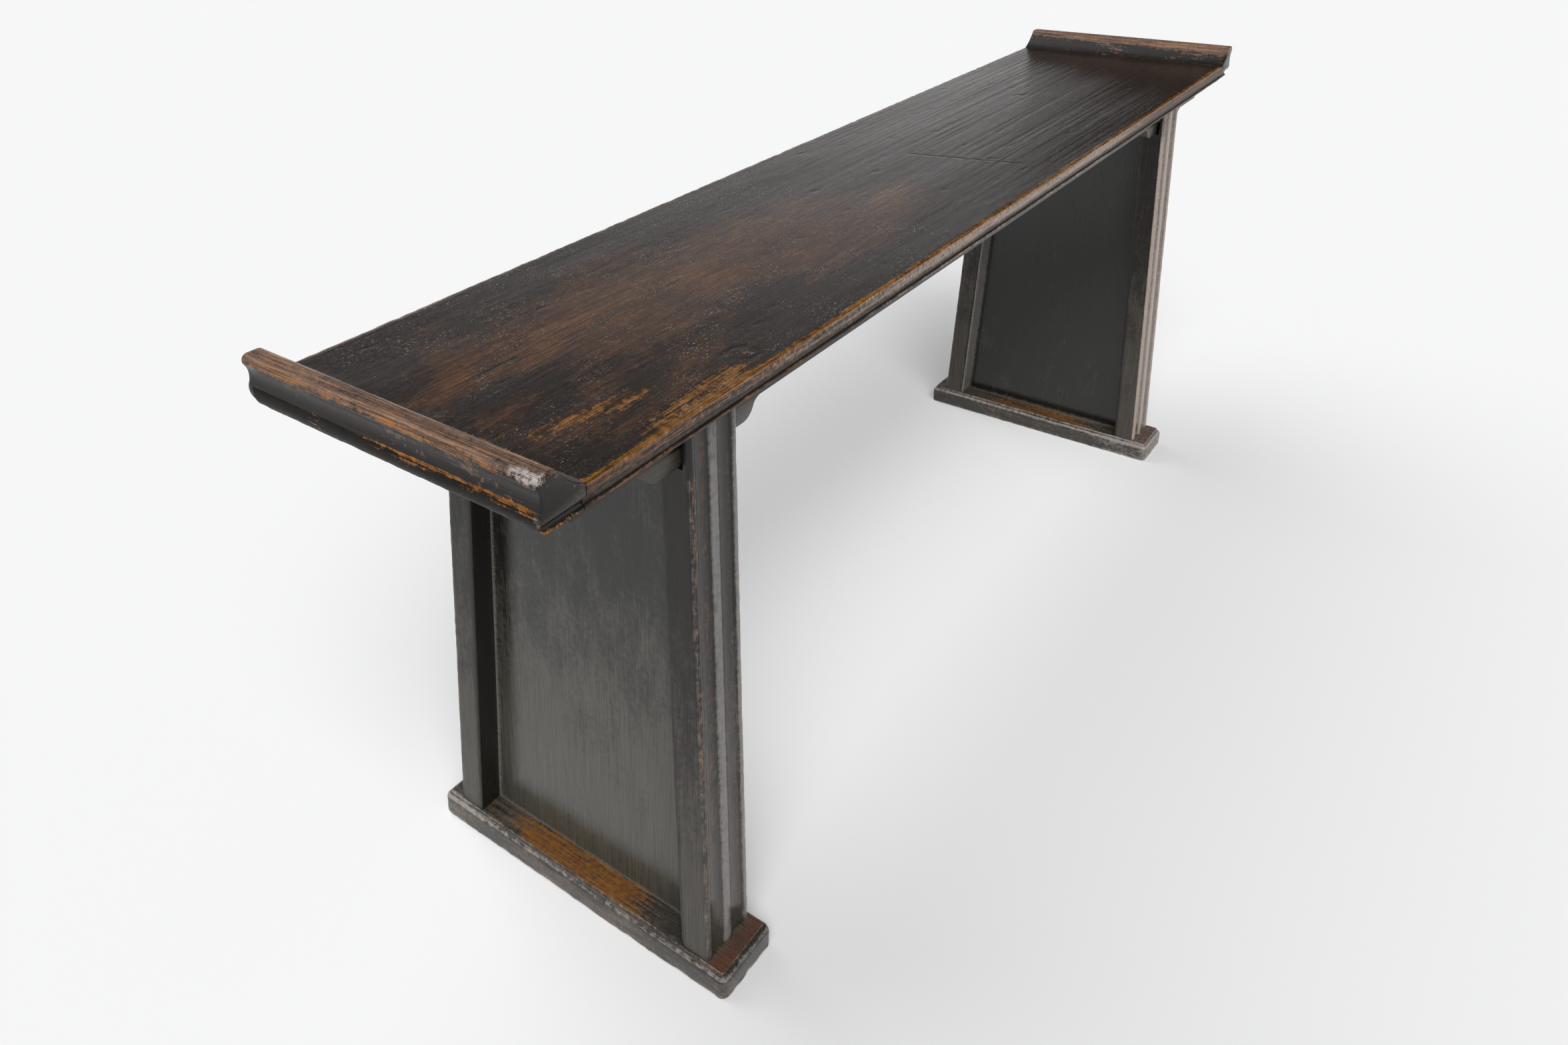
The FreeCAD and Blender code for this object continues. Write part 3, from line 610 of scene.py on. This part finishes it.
# %% Fields of the plank
# middle x and y, half length and half width in millimetres, and strength
BARE_FIELDS = [
    (-905, -206, 130, 18, 0.60), (-850, -190, 60, 18, 0.30), (-950, -143, 64, 18, 0.50),
    (-1062, -124, 44, 14, 0.48), (-1015, -134, 40, 13, 0.40), (-1067, 28, 80, 11, 0.30),
    (-768, -184, 28, 8, 0.42), (-985, -160, 70, 14, 0.28), (-880, -75, 50, 12, 0.20),
    (-700, -95, 80, 14, 0.15)]
HAZE_FIELDS = [
    (-394, -27, 270, 120, 1.0), (-720, -15, 170, 105, 0.8), (-965, 28, 130, 42, 0.9),
    (-930, -150, 150, 60, 0.6), (-1060, -60, 50, 120, 0.3), (-560, 120, 220, 60, 0.3),
    (-1077, 105, 60, 60, -0.8), (-1031, -18, 55, 22, -0.7), (-1012, -95, 50, 26, -0.7),
    (-892, -133, 45, 20, -0.8), (-686, -175, 90, 34, -0.8), (-380, -190, 330, 40, -0.8),
    (-860, 150, 180, 60, -0.5), (-120, 190, 700, 40, -0.5), (650, 0, 620, 400, -1.2),
    (-930, 30, 270, 160, 0.4), (-820, 110, 260, 75, 0.6), (-600, -90, 90, 45, -0.3),
    (-90, -70, 130, 60, 0.6)]


def field_sum(fields, point):
    """Strength of all the ovals at a point."""
    total = 0.0
    for x, y, half_x, half_y, strength in fields:
        away = math.hypot((point.x / MM - x) / half_x, (point.y / MM - y) / half_y)
        total += strength * ease(away, 1.35, 0.55)
    return total


KNOT = Vector((-785 * MM, -184 * MM))
KNOT_RING = 17 * MM  # radius of the groove round the knot
SPLIT = (-1013 * MM, -947 * MM, 22 * MM)  # crack along the grain: start, end and y
SWELL = (340 * MM, 85 * MM)  # length and width of slow waves,
FURROW = (1100 * MM, 10.5 * MM)  # of furrows in the soft wood,
RIPPLE = (75 * MM, 12 * MM)  # of short ripples
DENT = (30 * MM, 14 * MM)  # and of dents


def along_grain(point, size, layer):
    """Noise about 0 with features of that length and width. Each layer is another noise."""
    return noise.noise(Vector((point.x / size[0], point.y / size[1], layer)))


def in_split(point):
    """How far a point is inside the crack along the grain, from 0 to 1."""
    sway = 2 * MM * noise.noise(point * 40)
    return ease(abs(point.y - SPLIT[2] - sway), 3 * MM, 0.5 * MM) * (SPLIT[0] < point.x < SPLIT[1])


def top_relief(point):
    """Height of the upper skin over its plan, in metres. The terms are in millimetres."""
    far = ease(point.x, -0.15, 0.35)
    lift = 0.7 * along_grain(point, SWELL, 3.7)
    lift -= (0.05 + 0.17 * far) * ease(abs(along_grain(point, FURROW, 9.1)), 0.22, 0.0)
    lift += (0.10 - 0.05 * far) * along_grain(point, RIPPLE, 5.2)
    lift -= 1.6 * max(0.0, along_grain(point, DENT, 1.3) - 0.52)
    ring = abs((point.xy - KNOT).length - KNOT_RING) / (4 * MM)
    lift -= 0.5 * ease(ring, 1.0, 0.0)
    lift -= 0.25 * in_split(point)
    across, along = beside_crack(point)
    if -0.02 < along < 1.02:
        lift -= 0.35 * ease(abs(across), CRACK_HALF, 0.0)
    return lift * MM


turn = turning(plank, 4)
seam = [ease(HALF_LENGTH - abs(vert.co.x), 1 * MM, 26 * MM) for vert in plank.verts]
low_edge = [0.45 + 0.55 * ease(vert.co.z, FASCIA_FOOT[1] - 3 * MM, FASCIA_FOOT[1] + 3 * MM)
            for vert in plank.verts]
marks = edge_marks(turn * seam * low_edge, gain=3.4)
weather(plank, marks["arris"], grain="x", wave=0.0, nick=1.1 * MM, seed=1)
upper = [vert.normal.z > 0.95 and vert.co.z > TOP_LEVEL - 2 * MM for vert in plank.verts]
for vert, is_upper in zip(plank.verts, upper):
    if is_upper:
        inside = ease(HALF_DEPTH - abs(vert.co.y), 2 * MM, 9 * MM)
        vert.co.z += inside * top_relief(vert.co)


def on_bead(point):
    """1 on the bead along the foot of the moulded edge, 0 away from it."""
    low = ease(point.z, BEAD_TOP + MM, BEAD_TOP - 2 * MM)
    return low * ease(abs(point.y), BEAD_ROOT - 4 * MM, BEAD_ROOT)


ARRIS_WEAR = {"front": 0.62, "back": 0.35}  # people sat at the front
bare, haze_and_shade, pale = [], [], []
# painted light on the edge: a glint on the bead in the middle, a reflection on the fascia that dims at the
# far end, glints on the rounded arris; the fascia also browns towards both ends
for vert, flag in zip(plank.verts, upper):
    x, y, z = vert.co
    honey = ARRIS_WEAR["front" if y < 0 else "back"]
    rim = honey * ease(HALF_DEPTH - abs(y), 13 * MM, 2 * MM)
    fascia = ease(z, BEAD_TOP, BEAD_TOP + 4 * MM) * ease(z, TOP_LEVEL - MM, TOP_LEVEL - 5 * MM)
    bead = on_bead(vert.co)
    painted_gleam = bead * ease(x, -0.75, -0.45) * ease(x, 0.6, 0.3)
    turned = ease(z, TOP_LEVEL - 5 * MM, TOP_LEVEL - 2 * MM)
    brown = 0.16 + 0.28 * max(ease(x, -0.45, -0.75), ease(x, 0.3, 0.9))
    edge = brown * fascia + 0.42 * bead - 0.3 * painted_gleam + honey * turned
    bare.append(field_sum(BARE_FIELDS, vert.co) + rim if flag else edge)
    # the crack along the grain is painted dark, as painted shade in it
    haze_and_shade.append(field_sum(HAZE_FIELDS, vert.co) - 3 * in_split(vert.co) if flag else 0.0)
    # painted reflection on the fascia, and painted glints on the bead and the rounded arris
    painted_shine = 0.36 + 0.40 * ease(x, -1.1, -0.2) - 0.65 * ease(x, 0.3, 0.9)
    pale.append(fascia * painted_shine + 0.6 * painted_gleam + (0 if flag else 0.3 * turned))
scuff = [0.95 * ease(vert.co.x, 0.1, -0.6) * flag for vert, flag in zip(plank.verts, upper)]
marks |= {"bare": bare, "haze_and_shade": haze_and_shade, "pale": pale, "scuff": scuff}
for face in plank.faces:
    face.material_index = int(face.calc_center_median().z < TOP_LEVEL - EDGE_ROUND)
hand_over(plank, "top_plank", [top_paint, edge_paint], marks)

# %% [markdown]
# ## End battens
# Each end of the plank is closed by a batten whose flange curls up and out, to keep a scroll from
# rolling off. Its profile is stretched along the depth of the table. The front and back ends then take
# the plank's moulding, so that bead, cove and fascia run round the corner without a break.

# %% End battens
FLANGE_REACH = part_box("end_batten_right")[1].x
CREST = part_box("end_batten_right")[1].z
NOSE = 8 * MM
NOSE_START = math.radians(-30)
SHOULDER = 10 * MM
BATTEN_PIECES = 96  # from front to back
MOULD_CUT = 1.5 * MM  # height of the slices of the ends
MOULD_CUTS = 19
MANY_SIDES = 20  # a face with more points is a sawn one
nose_x = FLANGE_REACH - NOSE
ridge = (FLANGE_REACH - 5 * MM, TOP_LEVEL - 3 * MM)
crest_inner = nose_x - 14 * MM
FLANGE = [
    (HALF_LENGTH, UNDERSIDE, 0, 6),
    (ridge[0] - 11 * MM, UNDERSIDE, 0, 10),
    (*ridge, 4 * MM, 8),
    (nose_x + NOSE * math.cos(NOSE_START), CREST - NOSE + NOSE * math.sin(NOSE_START), -4 * MM, 9),
    (nose_x, CREST, NOSE * (1 - math.cos((math.pi / 2 - NOSE_START) / 2)), 10),
    (crest_inner, CREST, 0, 6),
    (crest_inner - SHOULDER * math.sin(math.pi / 4), CREST - SHOULDER * (1 - math.cos(math.pi / 4)),
     SHOULDER * (1 - math.cos(math.pi / 8)), 5),
    (HALF_LENGTH, TOP_LEVEL, -3.5 * MM, 14)]


def edge_reach(level):
    """How far the moulded edge stands from the middle of the table at a level."""
    if level >= TOP_LEVEL - EDGE_ROUND:
        return HALF_DEPTH
    low, high = FASCIA_FOOT[1], TOP_LEVEL - EDGE_ROUND
    if level >= low:
        return bow(FASCIA_FOOT, (HALF_DEPTH, high), 0.8 * MM, (level - low) / (high - low)).x
    if level >= BEAD_TOP:
        share = (level - BEAD_TOP) / (low - BEAD_TOP)
        return bow((BEAD_ROOT, BEAD_TOP), FASCIA_FOOT, -2.6 * MM, share).x
    share = (level - UNDERSIDE) / (BEAD_TOP - UNDERSIDE)
    return bow((BEAD_ROOT, UNDERSIDE), (BEAD_ROOT, BEAD_TOP), 3 * MM, share).x


def is_sawn(edge):
    """Whether an edge borders a sawn face, which has many points."""
    return max(len(face.verts) for face in edge.link_faces) > MANY_SIDES


for end, side in ENDS.items():
    batten = bmesh.new()
    profile = outline(batten, lambda a, b: Vector((a, -HALF_DEPTH, b)), FLANGE)
    stretch(batten, profile, Vector((0, 2 * HALF_DEPTH, 0)), BATTEN_PIECES)
    bmesh.ops.recalc_face_normals(batten, faces=batten.faces)
    round_arrises(batten, 2.4 * MM, is_sawn)
    for step in range(1, MOULD_CUTS + 1):
        sawn = [face for face in batten.faces if abs(face.calc_center_median().y) > HALF_DEPTH - 3 * MM]
        bmesh.ops.bisect_plane(batten, geom=whole_region(sawn), dist=WELD, plane_no=(0, 0, 1),
                               plane_co=(0, 0, UNDERSIDE + step * MOULD_CUT))
    for vert in batten.verts:
        vert.co.y *= edge_reach(vert.co.z) / HALF_DEPTH
    bmesh.ops.scale(batten, vec=(side, 1, 1), verts=batten.verts)
    toe = [ease(abs(vert.co.x) - HALF_LENGTH, 1 * MM, 14 * MM)
           * (0.2 + 0.8 * ease(abs(vert.co.y), HALF_DEPTH - MM, HALF_DEPTH - 9 * MM))
           for vert in batten.verts]
    marks = edge_marks(turning(batten, 2) * toe, gain=1.8)
    weather(batten, marks["arris"], grain="y", wave=0.5 * MM, nick=1.2 * MM, seed=5 + side)
    corner = Vector((side * (nose_x + 3 * MM), -HALF_DEPTH + 14 * MM, CREST - MM))
    bare, pale, haze_and_shade = [], [], []
    for vert in batten.verts:
        x, y, z = abs(vert.co.x), vert.co.y, vert.co.z
        front = ease(y, 0.06, -0.08) * ease(y, -HALF_DEPTH + 2 * MM, -HALF_DEPTH + 14 * MM)
        crest = ease(z, CREST - 7 * MM, CREST - 2 * MM)
        at_ridge = ease(math.hypot(x - ridge[0], z - ridge[1]), 4 * MM, 1 * MM)
        at_nose = ease(math.hypot(x - FLANGE_REACH, z - CREST + NOSE), 5 * MM, 1 * MM)
        below = ease(z, ridge[1] - 22 * MM, ridge[1]) * ease(z, ridge[1] + 3 * MM, ridge[1])
        rubbed = 0.12 * crest + 0.1 * at_ridge + 0.38 * at_nose + 0.34 * on_bead(vert.co)
        bare.append(rubbed + front * (0.42 * at_ridge + 0.32 * below))
        # painted highlights: a pale sheen patch at the front corner of the crest and a paler line along its
        # inner lip
        away = vert.co - corner
        corner_highlight = ease(Vector((away.x, 0.35 * away.y, away.z)).length, 20 * MM, 3 * MM)
        lip = ease(x, crest_inner + 4 * MM, crest_inner - 2 * MM)
        pale.append(0.62 * corner_highlight + 0.3 * lip * crest)
        inner = ease(x, nose_x, crest_inner)
        end_grain = -0.15 * ease(abs(y), HALF_DEPTH - 6 * MM, HALF_DEPTH - 3 * MM)
        starts, full = CREST - (12 + 7 * inner) * MM, CREST - (4 + 2 * inner) * MM
        haze_and_shade.append(end_grain + 0.85 * ease(z, starts, full))
    marks |= {"bare": bare, "pale": pale, "haze_and_shade": haze_and_shade, "scuff": [0.5 * value for value in haze_and_shade]}
    for face in batten.faces:
        place = face.calc_center_median()
        face.material_index = int(place.z < ridge[1] - MM and abs(place.y) < HALF_DEPTH - 8 * MM)
    hand_over(batten, f"end_batten_{end}", [flange_paint, under_paint], marks)

# %% [markdown]
# ## Legs
# Each leg is one flat post whose outer face has a bead along both edges, a wider bead in the middle and
# two shallow hollows. The section is stretched along the splay. The head is slotted for the apron and
# the spandrel, so three bisecting planes mark the slot, its faces are taken out, and its walls are
# bridged. A painted sheen lies on the front face, most on the middle bead and one edge bead, and painted
# shade darkens the upper leg and the inner faces. The front right leg is paler than the rest, with a
# painted glare, and so is the inner face of the back right one, so these two are marked apart.

# %% Legs
FOOT_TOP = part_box("foot_left")[1].z
SLOT_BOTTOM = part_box("spandrel_front_left")[0].z
APRON_OUTER, APRON_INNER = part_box("front_apron")[0].y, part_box("front_apron")[1].y
LEG_HALF = 48 * MM
LEG_DEPTH = 44 * MM
LEG_FOOT_OUT = -229 * MM  # outer face at the foot
LEG_HEAD_OUT = -196 * MM  # outer face at the head
LEG_BEAD = 13 * MM  # width of an edge bead
LEG_CROWN = 11 * MM  # half the width of the middle bead
LEG_HOLLOW = -1.2 * MM  # swell of the hollows between them
LEG_PIECES = 130  # from foot to head
TRESTLE = {end: sum(corner.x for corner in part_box(f"foot_{end}")) / 2 for end in ENDS}  # their middles
LEG_SPLAY = LEG_HEAD_OUT - LEG_FOOT_OUT
LEG_RISE = UNDERSIDE - FOOT_TOP
SLOT_FRONT = APRON_OUTER - 6.5 * MM
MOULD = 3 * MM  # swell of the beads
root = LEG_FOOT_OUT + MOULD
back = LEG_FOOT_OUT + LEG_DEPTH
ARRIS = 2 * MM
arris_bow = ARRIS * (1 - math.cos(math.pi / 4))
LEG_OUTLINE = [
    (LEG_CROWN, root, MOULD, 9),
    (LEG_HALF - LEG_BEAD, root, LEG_HOLLOW, 6),
    (LEG_HALF, root, MOULD, 7),
    (LEG_HALF, back - ARRIS, 0, 10),
    (LEG_HALF - ARRIS, back, arris_bow, 3),
    (-LEG_HALF + ARRIS, back, 0, 16),
    (-LEG_HALF, back - ARRIS, arris_bow, 3),
    (-LEG_HALF, root, 0, 10),
    (-LEG_HALF + LEG_BEAD, root, MOULD, 7),
    (-LEG_CROWN, root, LEG_HOLLOW, 6)]

for end in ENDS:
    middle = TRESTLE[end]
    for row, flip in ROWS.items():
        leg = bmesh.new()
        section = outline(leg, lambda a, b: Vector((middle + a, b, FOOT_TOP)), LEG_OUTLINE)
        stretch(leg, section, Vector((0, LEG_SPLAY, LEG_RISE)), LEG_PIECES)
        bmesh.ops.bisect_plane(leg, geom=whole_region(leg.faces), dist=WELD,
                               plane_co=(0, 0, SLOT_BOTTOM), plane_no=(0, 0, 1))
        for wall in (SLOT_FRONT, APRON_INNER):
            head = [face for face in leg.faces if face.calc_center_median().z > SLOT_BOTTOM]
            bmesh.ops.bisect_plane(leg, geom=whole_region(head), dist=WELD,
                                   plane_co=(0, wall, 0), plane_no=(0, 1, 0))
        taken = [face for face in leg.faces if face.calc_center_median().z > SLOT_BOTTOM
                 and SLOT_FRONT < face.calc_center_median().y < APRON_INNER]
        bmesh.ops.delete(leg, geom=taken, context="FACES")
        rims = [edge for edge in leg.edges if edge.is_boundary
                and abs(abs(edge.verts[0].co.x - middle) - LEG_HALF) < HAIR
                and abs(edge.verts[0].co.x - edge.verts[1].co.x) < HAIR]
        bmesh.ops.bridge_loops(leg, edges=rims)
        bmesh.ops.remove_doubles(leg, verts=leg.verts, dist=WELD)
        bmesh.ops.scale(leg, vec=(1, flip, 1), verts=leg.verts)
        joint = [ease(vert.co.z, FOOT_TOP + MM, FOOT_TOP + 14 * MM)
                 * (1 - 0.7 * ease(vert.co.z, SLOT_BOTTOM - 12 * MM, SLOT_BOTTOM - 2 * MM))
                 for vert in leg.verts]
        marks = edge_marks(turning(leg, 4) * joint, gain=2.4)
        weather(leg, marks["arris"], grain="z", wave=0.35 * MM, nick=0.9 * MM, seed=flip + 3 * middle)
        # the front right leg gets a painted glare, a stronger painted sheen
        in_glare = (row, end) == ("front", "right")
        pale_inside = (row, end) == ("back", "right")
        painted_shine, painted_gleam = (0.62, 0.4) if in_glare else (0.3, 0.5)
        bare, haze_and_shade, pale = [], [], []
        # painted sheen on the front face, more on the crown and one rim; wood is bare on the beads and in a
        # groove
        for vert in leg.verts:
            rise = (vert.co.z - FOOT_TOP) / LEG_RISE
            inward = flip * vert.co.y - LEG_FOOT_OUT - LEG_SPLAY * rise
            across = vert.co.x - middle
            face = ease(inward, 7 * MM, 4 * MM)
            crown = ease(across, -12 * MM, -7 * MM) * ease(across, 30 * MM, -9 * MM)
            rim = 0.85 * ease(across, 33 * MM, 40 * MM)
            groove = ease(abs(across + 20 * MM), 11 * MM, 3 * MM)
            inner = 0.85 * pale_inside * ease(inward, LEG_DEPTH - 3 * MM, LEG_DEPTH - MM)
            pale.append(inner + face * (painted_shine + painted_gleam * max(crown, rim)))
            bead = ease(abs(abs(across) - 40 * MM), 8 * MM, 3 * MM)
            rubbed = 0.28 * max(bead, 1.9 * groove)
            bare.append(rubbed * face * ease(rise, 0.0, 0.25) + 0.5 * inner)
            # painted shade: less haze up under the top and none on the inner faces, so these are darker
            painted_shade_fade = 0.15 + 0.5 * ease(vert.co.z, 0.72, 0.05)
            haze_and_shade.append(painted_shade_fade * ease(inward, LEG_DEPTH - MM, LEG_DEPTH - 8 * MM))
        marks |= {"pale": pale, "bare": bare, "haze_and_shade": haze_and_shade}
        hand_over(leg, f"leg_{row}_{end}", [glare_paint if in_glare else leg_paint], marks)

# %% [markdown]
# ## Spandrels
# A small board under the apron runs through the slot of each leg and ends in a rounded wing on both
# sides. It is sawn to an outline and its arrises are eased.

# %% Spandrels
APRON_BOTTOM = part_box("front_apron")[0].z
WING = [
    (82 * MM, SLOT_BOTTOM, 0, 20),
    (108 * MM, SLOT_BOTTOM + 16 * MM, 5 * MM, 8),
    (120 * MM, APRON_BOTTOM, -1.6 * MM, 4)]
DUSTY = 0.8  # even haze over a whole board


def is_sawn_below(edge):
    """Whether an edge of a sawn face lies clear of the apron."""
    return is_sawn(edge) and max(vert.co.z for vert in edge.verts) < APRON_BOTTOM - MM


for end in ENDS:
    middle = TRESTLE[end]
    for row, flip in ROWS.items():
        board = bmesh.new()
        face = outline(board, lambda a, b: Vector((middle + a, APRON_OUTER, b)), WING + mirrored(WING, 24))
        stretch(board, face, Vector((0, APRON_INNER - APRON_OUTER, 0)), 4)
        bmesh.ops.recalc_face_normals(board, faces=board.faces)
        round_arrises(board, 1.2 * MM, is_sawn_below)
        bmesh.ops.scale(board, vec=(1, flip, 1), verts=board.verts)
        marks = edge_marks(turning(board, 1), gain=1.6)
        marks["haze_and_shade"] = np.full(len(board.verts), DUSTY)
        hand_over(board, f"spandrel_{row}_{end}", [apron_paint], marks)

# %% [markdown]
# ## Side panels
# A single wide board stands loose in grooves between the legs. It is planed and thickly lacquered, so
# it mirrors the floor and the legs, but no old board is quite flat. A grid lets slow waves bend it.

# %% Side panels
PANEL_CUTS = (66, 126)  # across and up
GROOVE = 9 * MM  # depth that the legs hide at each side
SCAR = Vector((-0.879, -56 * MM, 240 * MM))  # a chip in the left panel
# painted shade: haze all over and more towards the floor, so the panels darken up under the top; the right
# panel, in the top's shade, gets less
PANEL_HAZE_AND_SHADE = {"left": (0.18, 0.42), "right": (0.04, 0.1)}

for end in ENDS:
    low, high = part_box(f"side_panel_{end}")
    panel = bmesh.new()
    bmesh.ops.create_grid(panel, x_segments=PANEL_CUTS[0], y_segments=PANEL_CUTS[1], size=0.5)
    sheet = list(panel.faces)
    foot_half = high.y
    head_half = foot_half - LEG_SPLAY * (high.z - low.z) / LEG_RISE
    for vert in panel.verts:
        across, rise = 2 * vert.co.x, vert.co.y + 0.5
        half = foot_half + (head_half - foot_half) * rise
        vert.co = (low.x, across * half, low.z + (high.z - low.z) * rise)
    made = bmesh.ops.extrude_face_region(panel, geom=sheet, use_keep_orig=True)["geom"]
    far = [item for item in made if isinstance(item, bmesh.types.BMVert)]
    bmesh.ops.translate(panel, vec=(high.x - low.x, 0, 0), verts=far)
    bmesh.ops.recalc_face_normals(panel, faces=panel.faces)
    marks = {"arris": np.zeros(len(panel.verts))}
    weather(panel, marks["arris"], grain="z", wave=0.7 * MM, nick=0.0, seed=11)
    hollow = []
    for vert in panel.verts:
        rise = (vert.co.z - low.z) / (high.z - low.z)
        seen_half = foot_half + (head_half - foot_half) * rise - GROOVE
        inside = min(seen_half - abs(vert.co.y), vert.co.z - FOOT_TOP)
        hollow.append(0.55 * ease(inside, 14 * MM, 2 * MM) + 0.6 * ease(inside, 5 * MM, 0.0))
    marks["hollow"] = hollow
    all_over, below = PANEL_HAZE_AND_SHADE[end]
    marks["haze_and_shade"] = [all_over + below * ease(vert.co.z, 0.72, 0.08) for vert in panel.verts]
    marks["bare"] = [0.6 * ease((vert.co - SCAR).length, 16 * MM, 4 * MM) for vert in panel.verts]
    hand_over(panel, f"side_panel_{end}", [panel_paint], marks)

# %% [markdown]
# ## Feet
# Each trestle stands on a shoe: a bar with rounded corners and a rounded shoulder, and a thin raised
# flat on top. Brooms and boots reach it first, so it is the most knocked about. A cube is beveled
# twice, inset, raised, and sliced so that it has points to chip.

# %% Feet
SLICE = 6 * MM  # spacing of points
STEP = 3.5 * MM  # height of the raised flat
SHOE_CORNER = 10 * MM
SHOE_SHOULDER = 9 * MM
GOLDEN = {"left": 0.82, "right": 0.66}  # how bare the flat is between the legs

for end, side in ENDS.items():
    low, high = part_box(f"foot_{end}")
    middle = (low + high) / 2
    shoe = bmesh.new()
    bmesh.ops.create_cube(shoe, size=1.0)
    bmesh.ops.scale(shoe, vec=(high.x - low.x, high.y - low.y, high.z - low.z - STEP), verts=shoe.verts)
    bmesh.ops.translate(shoe, vec=middle - Vector((0, 0, STEP / 2)), verts=shoe.verts)
    uprights = [edge for edge in shoe.edges if abs(edge.verts[0].co.z - edge.verts[1].co.z) > STEP]
    bmesh.ops.bevel(shoe, geom=uprights, offset=SHOE_CORNER, offset_type="OFFSET", segments=5,
                    profile=0.5, affect="EDGES", material=-1)
    shoulder = high.z - STEP
    rim = [edge for edge in shoe.edges if min(vert.co.z for vert in edge.verts) > shoulder - HAIR]
    bmesh.ops.bevel(shoe, geom=rim, offset=SHOE_SHOULDER, offset_type="OFFSET", segments=6,
                    profile=0.5, affect="EDGES", material=-1)
    shoe.normal_update()
    flat = [face for face in shoe.faces if face.normal.z > 0.99]
    bmesh.ops.inset_region(shoe, faces=flat, thickness=1 * MM)
    made = bmesh.ops.extrude_face_region(shoe, geom=flat)["geom"]
    bmesh.ops.delete(shoe, geom=flat, context="FACES_ONLY")
    raised = [item for item in made if isinstance(item, bmesh.types.BMVert)]
    bmesh.ops.translate(shoe, vec=(0, 0, STEP), verts=raised)
    bmesh.ops.recalc_face_normals(shoe, faces=shoe.faces)
    round_arrises(shoe, 1.0 * MM, lambda edge: min(vert.co.z for vert in edge.verts) > high.z - HAIR)
    round_arrises(shoe, 4.0 * MM, lambda edge: max(vert.co.z for vert in edge.verts) < low.z + HAIR)
    for axis in range(3):
        way = Vector([axis == 0, axis == 1, axis == 2])
        pieces = round((high[axis] - low[axis]) / SLICE)
        for step in range(1, pieces):
            cut_at = low + (high - low) * step / pieces
            bmesh.ops.bisect_plane(shoe, geom=whole_region(shoe.faces), dist=WELD,
                                   plane_co=cut_at, plane_no=way)
    marks = edge_marks(turning(shoe, 3), gain=1.8)
    shoe.normal_update()
    tilt = [vert.normal.z for vert in shoe.verts]
    weather(shoe, marks["arris"], grain="y", wave=0.9 * MM, nick=2.8 * MM, seed=20 + side)
    marks["arris"] *= [1 - 0.75 * ease(vert.co.z, high.z - 3 * MM, high.z - MM) for vert in shoe.verts]
    bare, haze_and_shade, pale = [], [], []
    for vert, up in zip(shoe.verts, tilt):
        vert.co.z = max(vert.co.z, low.z)
        upper = ease(vert.co.z, high.z - 2 * MM, high.z - MM)
        golden = GOLDEN[end] * ease(abs(vert.co.y), 0.215, 0.060)
        bare.append(upper * golden)
        haze_and_shade.append(upper * (0.5 * golden + 1.1 * ease(-vert.co.y, 0.224, 0.236)))
        # painted highlights: a pale sheen over the foot, stronger on one end and on the rounded shoulder
        shoulder_highlight = ease(up, 0.2, 0.5) * ease(up, 0.97, 0.8)
        pale.append(0.18 + 0.08 * side + 0.3 * ease(side * -vert.co.y, 0.08, 0.24) + 0.42 * shoulder_highlight)
    marks |= {"bare": bare, "haze_and_shade": haze_and_shade, "pale": pale}
    hand_over(shoe, f"foot_{end}", [foot_paint], marks)
